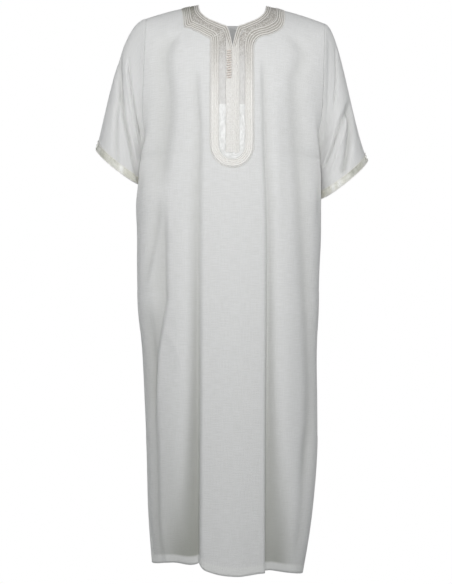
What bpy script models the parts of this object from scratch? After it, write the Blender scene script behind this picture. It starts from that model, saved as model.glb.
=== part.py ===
"""A short-sleeved djellaba of ivory cloth, in the hollow shape it takes when worn.

+Z is up, the front faces -Y and the wearer's left is +X. The origin is the middle of the
shoulder seat, between the two shoulders that carry the cloth. Lengths are in metres.

Each length of cloth is laid out flat first: "across" runs from -1 at the wearer's right edge
to +1 at the left edge, and "down" is the way along the cloth from the shoulder ridge. The
trims are outlined on the same flat cloth, so they share its points, and one function bends
all of it onto the form of the body and its folds.
"""
import math
from collections import namedtuple

import bpy
import bmesh
import numpy as np
from mathutils import Vector
from mathutils.geometry import delaunay_2d_cdt

# Thicknesses and gaps
CLOTH = 0.0015
RIBBON = 0.0010
BRAID = 0.0014
SEAM_GAP = 0.0009
LAYER_GAP = 0.0003
TRIM_GAP = 0.0002

# Form of the panels
SHOULDER_RISE = 0.048
SHOULDER_SLOPE = 1.00
SHOULDER_TILT = 0.015
SHOULDER_FADE = 0.90
CHEST_DROP = 0.20
CHEST_ARC = 0.26
CORNER_POWER = 0.66
UNDERARM = 0.395
ARMHOLE_REACH = 0.068
PANEL_LENGTH = 1.373
FLAT_HALF = 0.25
SLOPE_STEP = 0.0005
TINY = 1e-9

FRONT = -1
BACK = 1
RIGHT = -1
LEFT = 1

# Horizontal sections of the body, from the shoulders down. Height is measured from the
# shoulder ridge; turn is how far the cloth turns toward the side at the panel's edges.
Section = namedtuple("Section", "height right left front back turn")
SECTIONS = (
    Section(0.00, -0.207, 0.222, 0.122, 0.112, 52),
    Section(-0.10, -0.211, 0.219, 0.124, 0.120, 52),
    Section(-0.20, -0.215, 0.216, 0.126, 0.124, 54),
    Section(-0.28, -0.219, 0.212, 0.127, 0.122, 64),
    Section(-0.35, -0.231, 0.218, 0.127, 0.117, 86),
    Section(-0.42, -0.240, 0.226, 0.126, 0.112, 90),
    Section(-0.50, -0.232, 0.218, 0.125, 0.108, 90),
    Section(-0.60, -0.231, 0.211, 0.125, 0.108, 90),
    Section(-0.68, -0.229, 0.209, 0.126, 0.112, 90),
    Section(-0.80, -0.219, 0.205, 0.128, 0.121, 90),
    Section(-0.92, -0.213, 0.206, 0.130, 0.126, 90),
    Section(-1.04, -0.208, 0.205, 0.132, 0.128, 90),
    Section(-1.18, -0.204, 0.193, 0.135, 0.127, 90),
    Section(-1.36, -0.190, 0.166, 0.138, 0.125, 90),
)

# Long folds. Heights and places are where each fold starts and ends on the form, its widths
# are toward the wearer's right and left, and its depth is negative for a valley.
Fold = namedtuple("Fold", "face top bottom x_top x_bottom right_width left_width "
                          "depth_top depth_bottom")
FOLDS = (
    Fold(FRONT, -0.14, -1.40, -0.080, -0.081, 0.030, 0.017, -0.007, -0.040),
    Fold(FRONT, -0.12, -1.40, 0.074, 0.104, 0.015, 0.028, -0.008, -0.044),
    Fold(FRONT, -0.30, -1.40, 0.006, 0.012, 0.060, 0.060, 0.002, 0.012),
    Fold(FRONT, -0.12, -1.12, 0.128, 0.187, 0.018, 0.014, -0.012, -0.016),
    Fold(FRONT, -0.08, -0.72, -0.146, -0.164, 0.018, 0.018, -0.010, -0.005),
    Fold(FRONT, -0.60, -1.40, 0.126, 0.146, 0.022, 0.022, 0.002, 0.010),
    Fold(FRONT, -0.70, -1.40, -0.122, -0.130, 0.026, 0.026, 0.002, 0.008),
    Fold(BACK, -0.16, -1.40, -0.098, -0.112, 0.022, 0.030, -0.008, -0.034),
    Fold(BACK, -0.22, -1.40, -0.020, -0.030, 0.026, 0.026, -0.005, -0.026),
    Fold(BACK, -0.14, -1.40, 0.066, 0.058, 0.030, 0.020, -0.009, -0.038),
    Fold(BACK, -0.30, -1.40, 0.136, 0.128, 0.022, 0.022, -0.007, -0.024),
)
FOLD_LEAD = 0.14
FOLD_EDGE_POWER = 8

# Where a sleeve presses the side of the body in
Tuck = namedtuple("Tuck", "hand height spread depth")
TUCKS = (
    Tuck(RIGHT, -0.365, 0.070, 0.038),
    Tuck(LEFT, -0.385, 0.080, 0.040),
)
TUCK_START = 0.70

# Openings left in the side seams: where along the cloth, and how far each edge stands back
Slit = namedtuple("Slit", "top bottom stand_back")
POCKET_SLIT = Slit(0.715, 0.805, 0.007)
VENT = Slit(1.070, 1.400, 0.016)

# How much shorter the hem hangs, across the panel
HemRow = namedtuple("HemRow", "across front back")
HEM = (
    HemRow(-1.00, 0.005, 0.000),
    HemRow(-0.62, 0.023, 0.006),
    HemRow(-0.30, 0.022, 0.004),
    HemRow(-0.20, 0.008, 0.000),
    HemRow(0.06, -0.002, 0.002),
    HemRow(0.36, -0.006, 0.003),
    HemRow(0.46, 0.004, 0.004),
    HemRow(0.70, 0.000, 0.005),
    HemRow(1.00, -0.013, -0.010),
)

# Outlines of the trim on one half of the flat cloth: distance from the centre line, way down
MITRE_ROW = 5
NECK_EDGE_FRONT = ((0.0815, 0.000), (0.0810, 0.038), (0.0770, 0.073), (0.0600, 0.103),
                   (0.0310, 0.123), (0.0150, 0.131), (0.0072, 0.149), (0.0000, 0.177))
NECK_BRAID_FRONT = ((0.0930, 0.000), (0.0925, 0.041), (0.0875, 0.081), (0.0680, 0.114),
                    (0.0365, 0.136), (0.0235, 0.143), (0.0175, 0.158), (0.0100, 0.178),
                    (0.0088, 0.184), (0.0000, 0.185))
BAND_EDGE_FRONT = ((0.1205, 0.000), (0.1195, 0.064), (0.1150, 0.117), (0.1030, 0.126),
                   (0.0810, 0.1395), (0.0560, 0.158), (0.0510, 0.172))
BAND_BRAID_FRONT = ((0.1045, 0.000), (0.1035, 0.062), (0.1000, 0.103), (0.0925, 0.110),
                    (0.0725, 0.124), (0.0435, 0.145), (0.0350, 0.162))
STRIP_HALF = 0.0155
STRIP_END = 0.402
STRIP_CORNER_GAP = 0.001
STRIP_DOWNS = (0.20, 0.30, STRIP_END)
CENTRE_DOWNS = (0.24, 0.32, STRIP_END)
BIB_ARC_START = 0.384
BIB_HALF = 0.0500
BIB_BRAID = 0.0160
BIB_ARC_STEPS = 7
BIB_SIDE_STEPS = 4
NECK_HALF = 0.0815
NECK_BACK_DROP = 0.094
NECK_BRAID_WIDTH = 0.0115
BAND_HALF = 0.1205
BAND_BACK_DROP = 0.132
BACK_NECK_POWER = 2.5
BACK_NECK_STEPS = 9
SHOULDER_PLACES = (0.145, 0.170, 0.195)

# Pocket facings, on the flat back panel
FACING_INNER = 0.90
FACING_OUTER = 0.985
FACING_INSET = 0.004
FACING_STEPS = 4

# Knotted bars down the placket: half of each bar's width, length and height
KNOTS = 12
KNOT_HALF = (0.0056, 0.0019, 0.0020)
KNOT_PITCH = 0.0047
KNOT_FIRST = 0.1905
KNOT_X = -0.0078
KNOT_SEGMENTS = 8
KNOT_RINGS = 4

# Points on the flat cloth
FRONT_COLUMNS = 25
BACK_COLUMNS = 19
CLOSE_ROW = 0.030
CLOSE_ROWS_END = 0.47
WIDE_ROW = 0.075
CLEARANCE = 0.011
MERGE = 1e-5

# Sleeves: the two ends of the sleeve's lower edge, and the ways, as parts of its own length, in
# which its upper line leaves the armhole (launch) and meets that edge (flare)
Sleeve = namedtuple("Sleeve", "name hand top_x top_z under_x under_z launch flare_x flare_z")
SLEEVES = (
    Sleeve("right", RIGHT, 0.3300, -0.305, 0.2200, -0.393, 0.54, 0.25, 0.955),
    Sleeve("left", LEFT, 0.3280, -0.331, 0.2110, -0.427, 0.32, 0.33, 0.720),
)
LAUNCH_FALL = -0.06
UNDER_LAUNCH = (0.35, -0.95)
UNDER_FLARE = (0.10, -1.00)
LAUNCH_SPREAD = 0.30
SLEEVE_REACH = 0.072
SLEEVE_DROOP = 0.007
SLEEVE_DROOP_OUT = 0.0042
SLEEVE_COLUMNS = 28
SLEEVE_ROWS = 7
CUFF_BAND = 0.020
ARMHOLE_GAP = 0.0011
ARMHOLE_GAP_FALL = -0.15

# Folds on the sleeves: place around (0 at the top, 0.25 front, 0.5 under, 0.75 back)
SleeveFold = namedtuple("SleeveFold", "hand around_start around_end start end width depth")
SLEEVE_FOLDS = (
    SleeveFold(RIGHT, 0.13, 0.21, 0.25, 1.10, 0.030, -0.007),
    SleeveFold(RIGHT, 0.24, 0.34, 0.30, 1.10, 0.030, -0.009),
    SleeveFold(RIGHT, 0.86, 0.80, 0.25, 1.10, 0.034, -0.007),
    SleeveFold(RIGHT, 0.74, 0.64, 0.30, 1.10, 0.034, -0.008),
    SleeveFold(LEFT, 0.12, 0.25, 0.35, 1.10, 0.030, -0.009),
    SleeveFold(LEFT, 0.22, 0.33, 0.25, 1.10, 0.032, -0.008),
    SleeveFold(LEFT, 0.87, 0.78, 0.25, 1.10, 0.032, -0.007),
    SleeveFold(LEFT, 0.76, 0.66, 0.35, 1.10, 0.034, -0.009),
)

# Colour, roughness and metallic value of each material
FINISHES = {
    "ivory_cloth": ((0.80, 0.80, 0.77, 1.0), 0.85, 0.0),
    "satin_ribbon": ((0.62, 0.59, 0.52, 1.0), 0.35, 0.1),
    "ribbed_strip": ((0.74, 0.72, 0.66, 1.0), 0.60, 0.0),
    "cord": ((0.84, 0.82, 0.76, 1.0), 0.45, 0.0),
    "knot_thread": ((0.62, 0.54, 0.47, 1.0), 0.60, 0.0),
    "cuff_satin": ((0.78, 0.76, 0.68, 1.0), 0.25, 0.0),
}


def clear_scene():
    for item in list(bpy.data.objects):
        bpy.data.objects.remove(item, do_unlink=True)


def make_material(name):
    colour, roughness, metallic = FINISHES[name]
    material = bpy.data.materials.get(name) or bpy.data.materials.new(name)
    material.use_nodes = True
    shader = material.node_tree.nodes["Principled BSDF"]
    shader.inputs["Base Color"].default_value = colour
    shader.inputs["Roughness"].default_value = roughness
    shader.inputs["Metallic"].default_value = metallic
    return material


# ---- curves and tables -------------------------------------------------------------------

def smooth_step(value):
    value = np.clip(value, 0.0, 1.0)
    return value * value * (3.0 - 2.0 * value)


def read_curve(places, values, where):
    """A smooth curve through the given values, read at where; places go up."""
    slopes = np.gradient(values, places)
    where = np.clip(where, places[0], places[-1])
    cell = np.clip(np.searchsorted(places, where) - 1, 0, len(places) - 2)
    span = places[cell + 1] - places[cell]
    part = (where - places[cell]) / span
    rise = smooth_step(part)
    start = part * (1.0 - part) ** 2 * span * slopes[cell]
    end = part * part * (part - 1.0) * span * slopes[cell + 1]
    return values[cell] * (1.0 - rise) + values[cell + 1] * rise + start + end


def read_section(column, height):
    heights = np.array([row.height for row in reversed(SECTIONS)])
    values = np.array([getattr(row, column) for row in reversed(SECTIONS)], dtype=float)
    return read_curve(heights, values, height)


def bell(distance, width):
    return np.exp(-(distance / width) ** 2)


# ---- the form of the body panels ---------------------------------------------------------

def fall_below_ridge(down):
    """Height lost below the shoulder ridge: a quarter of an oval over the chest, then straight."""
    arc = np.clip(down / CHEST_ARC, 0.0, 1.0) * math.pi / 2
    return -CHEST_DROP * (1.0 - np.cos(arc)) - np.maximum(down - CHEST_ARC, 0.0)


def ridge_height(x, down):
    """Height that the sloping shoulders add, fading out toward the hem."""
    ridge = SHOULDER_RISE - SHOULDER_SLOPE * x * x - SHOULDER_TILT * x
    return ridge * np.clip(1.0 - down / SHOULDER_FADE, 0.0, 1.0) ** 2


def section_width(down):
    fall = fall_below_ridge(down)
    right = read_section("right", fall)
    left = read_section("left", fall)
    return (left + right) / 2, (left - right) / 2, np.radians(read_section("turn", fall))


def across_of(x, down):
    """The place across the panel that lies at x."""
    middle, half, turn = section_width(np.asarray(down, dtype=float))
    return np.arcsin(np.clip((x - middle) / half * np.sin(turn), -1.0, 1.0)) / turn


def armhole_reach(down):
    """How far the armhole's edge stands forward or back of the side."""
    part = np.clip(down / UNDERARM, 0.0, 1.0)
    return ARMHOLE_REACH * np.sqrt(np.clip(np.sin(math.pi * part), 0.0, 1.0))


def side_opening(down):
    """How far a panel's edge stands back from the side seam, at the pocket slit and the vent."""
    middle = (POCKET_SLIT.top + POCKET_SLIT.bottom) / 2
    half = (POCKET_SLIT.bottom - POCKET_SLIT.top) / 2
    pocket = POCKET_SLIT.stand_back * smooth_step(1.0 - np.abs(down - middle) / half)
    vent = VENT.stand_back * smooth_step((down - VENT.top) / (VENT.bottom - VENT.top))
    return pocket + vent


def tuck_in(across, height):
    total = np.zeros_like(height)
    for tuck in TUCKS:
        near = smooth_step((across * tuck.hand - TUCK_START) / (1.0 - TUCK_START))
        total -= tuck.hand * tuck.depth * near * bell(height - tuck.height, tuck.spread)
    return total


def panel_base(face, across, down):
    """The panel's form before its folds."""
    fall = fall_below_ridge(down)
    middle, half, turn = section_width(down)
    arc = np.clip(down / CHEST_ARC, 0.0, 1.0) * math.pi / 2
    reach = read_section("front" if face == FRONT else "back", fall) * np.sin(arc)
    x = middle + half * np.sin(turn * across) / np.sin(turn)
    side = np.clip(np.cos(turn), 0.0, 1.0) ** CORNER_POWER
    bow = (np.clip(np.cos(turn * across), 0.0, 1.0) ** CORNER_POWER - side) / (1.0 - side)
    edge = armhole_reach(down) + side_opening(down)
    y = face * (SEAM_GAP / 2 + edge + (reach - edge) * bow)
    z = fall + ridge_height(x, down)
    return np.stack([x + tuck_in(across, z), y, z], axis=-1)


def fold_lift(face, across, point):
    x = point[..., 0]
    height = point[..., 2]
    total = np.zeros_like(x)
    for fold in FOLDS:
        if fold.face == face:
            part = np.clip((fold.top - height) / (fold.top - fold.bottom), 0.0, 1.0)
            place = fold.x_top + (fold.x_bottom - fold.x_top) * part
            depth = fold.depth_top + (fold.depth_bottom - fold.depth_top) * part
            lead = smooth_step((fold.top - height) / FOLD_LEAD)
            lead *= smooth_step((height - fold.bottom) / FOLD_LEAD + 1.0)
            width = np.where(x < place, fold.right_width, fold.left_width)
            total += depth * lead * bell(x - place, width)
    return total * (1.0 - np.abs(across) ** FOLD_EDGE_POWER)


def panel_points(face, across, down):
    """Points of the folded panel."""
    step = SLOPE_STEP
    base = panel_base(face, across, down)
    along_across = panel_base(face, across + step, down) - panel_base(face, across - step, down)
    along_down = panel_base(face, across, down + step) - panel_base(face, across, down - step)
    normal = face * np.cross(along_across, along_down)
    normal /= np.linalg.norm(normal, axis=-1, keepdims=True)
    return base + normal * fold_lift(face, across, base)[..., None]


def panel_length(face, across):
    column = "front" if face == FRONT else "back"
    places = np.array([row.across for row in HEM])
    lifts = np.array([getattr(row, column) for row in HEM])
    return PANEL_LENGTH - read_curve(places, lifts, across)


# ---- laying out the flat cloth -----------------------------------------------------------

def mirrored(half_line):
    """The half outline on both sides of the centre line, from the wearer's left to the right."""
    line = list(half_line)
    other = [(-x, down) for x, down in reversed(line) if x > TINY]
    return line + other


def bib_half_line(upper, half_width):
    """The band's edge, then the bib's straight side and a quarter of its round end."""
    start = upper[-1][1]
    sides = np.linspace(start, BIB_ARC_START, BIB_SIDE_STEPS + 1)[1:]
    turns = np.linspace(0.0, math.pi / 2, BIB_ARC_STEPS + 1)[1:]
    line = list(upper) + [(half_width, down) for down in sides]
    line += [(half_width * math.cos(a), BIB_ARC_START + half_width * math.sin(a)) for a in turns]
    return line


def back_neck_line(half_width, drop):
    """Half of a rounded neck hole on the back panel, from the shoulder to the centre."""
    turns = np.linspace(0.0, math.pi / 2, BACK_NECK_STEPS)
    power = 2.0 / BACK_NECK_POWER
    return [(half_width * math.cos(a) ** power, drop * max(math.sin(a), 0.0) ** power)
            for a in turns]


def to_flat(line):
    """Outline points (x, down) as points of the flat cloth."""
    points = np.array(line, dtype=float)
    return np.column_stack([across_of(points[:, 0], points[:, 1]) * FLAT_HALF, points[:, 1]])


def inside(points, outline):
    """Which points lie inside a closed outline."""
    result = np.zeros(len(points), dtype=bool)
    x = points[:, 0]
    y = points[:, 1]
    for (x0, y0), (x1, y1) in zip(outline, np.roll(outline, -1, axis=0)):
        crosses = (y0 > y) != (y1 > y)
        if y0 != y1:
            result ^= crosses & (x < (x1 - x0) * (y - y0) / (y1 - y0) + x0)
    return result


def distance_to_lines(points, lines):
    nearest = np.full(len(points), np.inf)
    for line in lines:
        for start, end in zip(line[:-1], line[1:]):
            way = end - start
            part = np.clip((points - start) @ way / max(way @ way, TINY), 0.0, 1.0)
            gap = np.linalg.norm(points - start - part[:, None] * way, axis=1)
            nearest = np.minimum(nearest, gap)
    return nearest


def cloth_rows():
    close = np.arange(CLOSE_ROW, CLOSE_ROWS_END, CLOSE_ROW)
    wide = np.arange(CLOSE_ROWS_END, PANEL_LENGTH + WIDE_ROW, WIDE_ROW)
    return np.concatenate([close, wide])


def armhole_downs():
    return np.linspace(0.0, UNDERARM, SLEEVE_COLUMNS // 2 + 1)


def panel_outline(face, neck_line, band_half):
    """The flat panel's closed outline, starting at the left end of the neck line."""
    columns = FRONT_COLUMNS if face == FRONT else BACK_COLUMNS
    hem_across = np.linspace(1.0, -1.0, columns * 2 - 1)
    neck_half = neck_line[0][0]
    shoulder_x = np.array([neck_half, band_half - BIB_BRAID, band_half, *SHOULDER_PLACES])
    ridge = across_of(shoulder_x, np.zeros_like(shoulder_x))
    ridge_right = across_of(-shoulder_x[::-1], np.zeros_like(shoulder_x))
    rows = cloth_rows()
    downs = np.concatenate([armhole_downs(), rows[rows > UNDERARM + CLEARANCE]])
    downs_left = downs[downs < panel_length(face, np.array([1.0]))[0] - CLEARANCE]
    downs_right = downs[downs < panel_length(face, np.array([-1.0]))[0] - CLEARANCE]
    outline = [(a, 0.0) for a in ridge]
    outline += [(1.0, d) for d in downs_left]
    outline += list(zip(hem_across, panel_length(face, hem_across)))
    outline += [(-1.0, d) for d in downs_right[::-1]]
    outline += [(a, 0.0) for a in ridge_right]
    flat = np.array(outline) * (FLAT_HALF, 1.0)
    neck = to_flat(mirrored(neck_line))[::-1]
    return np.vstack([flat, neck[1:-1]])


def lay_out_panel(face, neck_line, band_half, lines):
    """Triangles of the flat panel that keep every trim line: flat points and faces."""
    outline = panel_outline(face, neck_line, band_half)
    columns = FRONT_COLUMNS if face == FRONT else BACK_COLUMNS
    across = np.linspace(-1.0, 1.0, columns)[1:-1]
    grid = np.array([(a * FLAT_HALF, d) for a in across for d in cloth_rows()])
    closed = np.vstack([outline, outline[:1]])
    grid = grid[inside(grid, outline)]
    grid = grid[distance_to_lines(grid, [closed] + lines) > CLEARANCE]
    points = [Vector(p) for p in outline] + [Vector(p) for p in grid]
    edges = []
    for line in lines:
        first = len(points)
        points += [Vector(p) for p in line]
        edges += [(first + i, first + i + 1) for i in range(len(line) - 1)]
    border = [list(range(len(outline)))]
    inside_only = 1
    result = delaunay_2d_cdt(points, edges, border, inside_only, MERGE)
    return np.array([tuple(p) for p in result[0]]), [tuple(f) for f in result[2]]


# ---- turning flat cloth into pieces ------------------------------------------------------

def finish_piece(name, mesh, thickness, offset, material, parts):
    piece = bpy.data.objects.new(name, mesh)
    parts.objects.link(piece)
    mesh.materials.append(make_material(material))
    mesh.shade_smooth()
    wall = piece.modifiers.new("wall", "SOLIDIFY")
    wall.thickness = thickness
    wall.offset = offset
    wall.use_even_offset = False
    return piece


def mesh_of(name, points, faces):
    mesh = bpy.data.meshes.new(name)
    mesh.from_pydata([tuple(p) for p in points], [], [tuple(f) for f in faces])
    mesh.update()
    return mesh


def used_only(points, faces):
    """The faces' own points, renumbered."""
    used = sorted({index for face in faces for index in face})
    number = {old: new for new, old in enumerate(used)}
    return points[used], [tuple(number[i] for i in face) for face in faces]


def trim_rim(mesh, width):
    """Cuts a narrow rim off an open piece, so that it clears the pieces beside it."""
    work = bmesh.new()
    work.from_mesh(mesh)
    rim = bmesh.ops.inset_region(work, faces=work.faces[:], use_boundary=True,
                                 use_even_offset=True, thickness=width)
    bmesh.ops.delete(work, geom=rim["faces"], context="FACES")
    work.to_mesh(mesh)
    work.free()
    mesh.update()


class Panel:
    """A length of cloth: its points, faces and normals, for itself and what lies on it."""

    def __init__(self, face, neck_line, band_half, lines):
        self.flat, faces = lay_out_panel(face, neck_line, band_half, lines)
        self.faces = [f[::-1] for f in faces] if face == FRONT else faces
        across = self.flat[:, 0] / FLAT_HALF
        self.points = panel_points(face, across, self.flat[:, 1])
        self.x = panel_base(face, across, self.flat[:, 1])[:, 0]
        guide = mesh_of("guide", self.points, self.faces)
        self.normals = np.array([tuple(vertex.normal) for vertex in guide.vertices])
        bpy.data.meshes.remove(guide)
        self.centres = np.array([self.flat[list(f)].mean(axis=0) for f in self.faces])
        self.centre_x = np.array([self.x[list(f)].mean() for f in self.faces])

    def cloth(self, name, parts):
        mesh = mesh_of(name, self.points, self.faces)
        return finish_piece(name, mesh, CLOTH, 0.0, "ivory_cloth", parts)

    def trim(self, name, chosen, height, thickness, material, parts):
        """A piece lying on the panel: the chosen faces, moved out along the normals."""
        faces = [face for face, keep in zip(self.faces, chosen) if keep]
        points, faces = used_only(self.points + self.normals * height, faces)
        mesh = mesh_of(name, points, faces)
        trim_rim(mesh, TRIM_GAP)
        return finish_piece(name, mesh, thickness, 1.0, material, parts)

    def point_over(self, flat_point, height):
        """A point at a height over the cloth and the way out of the cloth there."""
        for face in self.faces:
            corners = self.flat[list(face)]
            if inside(np.array([flat_point]), corners)[0]:
                system = np.vstack([corners.T, np.ones(3)])
                weights = np.linalg.solve(system, (*flat_point, 1.0))
                normal = weights @ self.normals[list(face)]
                normal /= np.linalg.norm(normal)
                return weights @ self.points[list(face)] + normal * height, Vector(normal)
        raise ValueError("the point is not on the cloth")


def over_line(centres, line):
    return inside(centres, to_flat(line))


def make_front(parts):
    neck = NECK_EDGE_FRONT
    band = bib_half_line(BAND_EDGE_FRONT, BIB_HALF)
    braid = bib_half_line(BAND_BRAID_FRONT, BIB_HALF - BIB_BRAID)
    corner = NECK_EDGE_FRONT[MITRE_ROW]
    mitre_end = BAND_EDGE_FRONT[MITRE_ROW]
    mitre_slope = (mitre_end[1] - corner[1]) / (mitre_end[0] - corner[0])
    strip = [(STRIP_HALF, down) for down in (corner[1] + STRIP_CORNER_GAP, *STRIP_DOWNS)]
    strip.append((0.0, STRIP_END))
    mitres = [[corner, mitre_end], [(-corner[0], corner[1]), (-mitre_end[0], mitre_end[1])]]
    lines = [mirrored(band), mirrored(braid), mirrored(NECK_BRAID_FRONT), mirrored(strip)]
    lines += mitres + [[(0.0, down) for down in (neck[-1][1], *CENTRE_DOWNS)]]
    panel = Panel(FRONT, neck, BAND_HALF, [to_flat(line) for line in lines])
    panel.cloth("front_panel", parts)

    spots = panel.centres
    x = panel.centre_x
    in_band = over_line(spots, mirrored(band))
    in_braid = in_band & ~over_line(spots, mirrored(braid))
    in_neck_braid = over_line(spots, mirrored(NECK_BRAID_FRONT))
    in_strip = in_band & (np.abs(x) < STRIP_HALF) & (spots[:, 1] > corner[1])
    in_strip &= spots[:, 1] < STRIP_END
    above_mitre = spots[:, 1] < corner[1] + mitre_slope * (np.abs(x) - corner[0])
    low = CLOTH / 2 + LAYER_GAP
    high = low + RIBBON + LAYER_GAP
    neck_band = in_band & above_mitre & ~in_strip
    for name, hand in (("right", RIGHT), ("left", LEFT)):
        own = x * hand > TRIM_GAP
        panel.trim(f"neck_band_{name}", neck_band & own, low, RIBBON, "satin_ribbon", parts)
        panel.trim(f"braid_inner_{name}", in_neck_braid & own, high + TRIM_GAP, BRAID, "cord",
                   parts)
    bib = in_band & ~above_mitre & ~in_strip
    panel.trim("bib_ribbon", bib, low, RIBBON, "satin_ribbon", parts)
    panel.trim("placket_strip", in_strip, low, RIBBON, "ribbed_strip", parts)
    panel.trim("braid_outer_front", in_braid, high, BRAID, "cord", parts)
    make_knots(panel, high + LAYER_GAP, parts)


def make_knots(panel, height, parts):
    half_width, half_length, half_height = KNOT_HALF
    for number in range(KNOTS):
        spot = to_flat([(KNOT_X, KNOT_FIRST + KNOT_PITCH * number)])[0]
        centre, outward = panel.point_over(spot, height + half_height)
        bpy.ops.mesh.primitive_uv_sphere_add(segments=KNOT_SEGMENTS, ring_count=KNOT_RINGS,
                                             location=tuple(centre))
        knot = bpy.context.object
        knot.name = f"knot_{number + 1}"
        knot.scale = (half_width, half_height, half_length)
        knot.rotation_euler = Vector((0.0, -1.0, 0.0)).rotation_difference(outward).to_euler()
        knot.data.materials.append(make_material("knot_thread"))
        knot.data.shade_smooth()
        for owner in list(knot.users_collection):
            owner.objects.unlink(knot)
        parts.objects.link(knot)


def make_back(parts):
    neck = back_neck_line(NECK_HALF, NECK_BACK_DROP)
    band = back_neck_line(BAND_HALF, BAND_BACK_DROP)
    neck_braid = back_neck_line(NECK_HALF + NECK_BRAID_WIDTH, NECK_BACK_DROP + NECK_BRAID_WIDTH)
    braid = back_neck_line(BAND_HALF - BIB_BRAID, BAND_BACK_DROP - BIB_BRAID)
    flat_lines = [to_flat(mirrored(line)) for line in (band, braid, neck_braid)]
    facing_downs = np.linspace(POCKET_SLIT.top + FACING_INSET,
                               POCKET_SLIT.bottom - FACING_INSET, FACING_STEPS)
    for hand in (RIGHT, LEFT):
        inner = FACING_INNER * hand * FLAT_HALF
        outer = FACING_OUTER * hand * FLAT_HALF
        loop = [(inner, d) for d in facing_downs] + [(outer, d) for d in facing_downs[::-1]]
        flat_lines.append(np.array(loop + loop[:1]))
    panel = Panel(BACK, neck, BAND_HALF, flat_lines)
    panel.cloth("back_panel", parts)

    spots = panel.centres
    in_band = over_line(spots, mirrored(band))
    in_braid = in_band & ~over_line(spots, mirrored(braid))
    in_neck_braid = over_line(spots, mirrored(neck_braid))
    low = CLOTH / 2 + LAYER_GAP
    high = low + RIBBON + LAYER_GAP
    panel.trim("neck_band_back", in_band, low, RIBBON, "satin_ribbon", parts)
    panel.trim("braid_outer_back", in_braid, high, BRAID, "cord", parts)
    panel.trim("braid_inner_back", in_neck_braid, high, BRAID, "cord", parts)
    across = spots[:, 0] / FLAT_HALF
    in_slit = (spots[:, 1] > facing_downs[0]) & (spots[:, 1] < facing_downs[-1])
    for name, hand in (("right", RIGHT), ("left", LEFT)):
        own = (across * hand > FACING_INNER) & (across * hand < FACING_OUTER)
        panel.trim(f"pocket_facing_{name}", in_slit & own, low, RIBBON, "ivory_cloth", parts)


# ---- sleeves -----------------------------------------------------------------------------

def armhole_line(hand):
    """Points of the armhole seam: down the front edge and up the back edge."""
    downs = armhole_downs()
    across = np.full_like(downs, float(hand))
    front = panel_base(FRONT, across, downs)
    back = panel_base(BACK, across, downs)
    front[:, 1] += SEAM_GAP / 2
    back[:, 1] -= SEAM_GAP / 2
    return np.vstack([front, back[-2:0:-1]])


def sleeve_points(sleeve):
    """A tube from the armhole to the sleeve's lower edge. Each line along it is a cubic that
    leaves the armhole one way and meets the lower edge another; rows, then columns."""
    start = armhole_line(sleeve.hand)
    turn = 2 * math.pi * np.arange(len(start)) / len(start)
    middle_x = (sleeve.top_x + sleeve.under_x) / 2
    middle_z = (sleeve.top_z + sleeve.under_z) / 2
    droop = np.abs(np.sin(turn))
    end_x = middle_x + (sleeve.top_x - middle_x) * np.cos(turn) + SLEEVE_DROOP_OUT * droop
    end_z = middle_z + (sleeve.top_z - middle_z) * np.cos(turn) - SLEEVE_DROOP * droop
    end = np.column_stack([sleeve.hand * end_x, -SLEEVE_REACH * np.sin(turn), end_z])
    length = np.linalg.norm(end - start, axis=1)[:, None]
    under = ((1.0 - np.cos(turn)) / 2)[:, None]
    top_launch = np.array([sleeve.hand * sleeve.launch, 0.0, LAUNCH_FALL])
    under_launch = np.array([sleeve.hand * UNDER_LAUNCH[0], 0.0, UNDER_LAUNCH[1]])
    leave = top_launch * (1.0 - under) + under_launch * under
    leave[:, 1] += LAUNCH_SPREAD * np.sin(turn)
    top_flare = np.array([sleeve.hand * sleeve.flare_x, 0.0, -sleeve.flare_z])
    under_flare = np.array([sleeve.hand * UNDER_FLARE[0], 0.0, UNDER_FLARE[1]])
    arrive = top_flare * (1.0 - under) + under_flare * under
    gap_way = np.array([sleeve.hand, 0.0, ARMHOLE_GAP_FALL])
    start = start + ARMHOLE_GAP * (1.0 + under) * gap_way
    band_start = 1.0 - CUFF_BAND / length
    rows = [row * band_start for row in np.linspace(0.0, 1.0, SLEEVE_ROWS + 1)]
    rows.append(np.ones_like(band_start))
    grid = []
    for part in rows:
        rise = smooth_step(part)
        point = start * (1.0 - rise) + end * rise
        point += leave * length * part * (1.0 - part) ** 2
        point += arrive * length * part * part * (part - 1.0)
        grid.append(point)
    parts = np.array([part[:, 0] for part in rows])
    return np.array(grid), parts


def grid_normals(grid, hand):
    around = np.roll(grid, -1, axis=1) - np.roll(grid, 1, axis=1)
    along = np.gradient(grid, axis=0)
    normal = hand * np.cross(around, along)
    return normal / np.linalg.norm(normal, axis=-1, keepdims=True)


def sleeve_lift(hand, parts):
    around = np.arange(parts.shape[1])[None, :] / parts.shape[1]
    total = np.zeros_like(parts)
    for fold in SLEEVE_FOLDS:
        if fold.hand == hand:
            along = np.clip((parts - fold.start) / (fold.end - fold.start), 0.0, 1.0)
            place = fold.around_start + (fold.around_end - fold.around_start) * along
            total += fold.depth * smooth_step(along * 2.0) * bell(around - place, fold.width)
    return total


def tube_faces(rows, columns, hand):
    faces = []
    for row in range(rows - 1):
        for column in range(columns):
            following = (column + 1) % columns
            quad = (row * columns + column, row * columns + following,
                    (row + 1) * columns + following, (row + 1) * columns + column)
            faces.append(quad if hand == LEFT else quad[::-1])
    return faces


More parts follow.
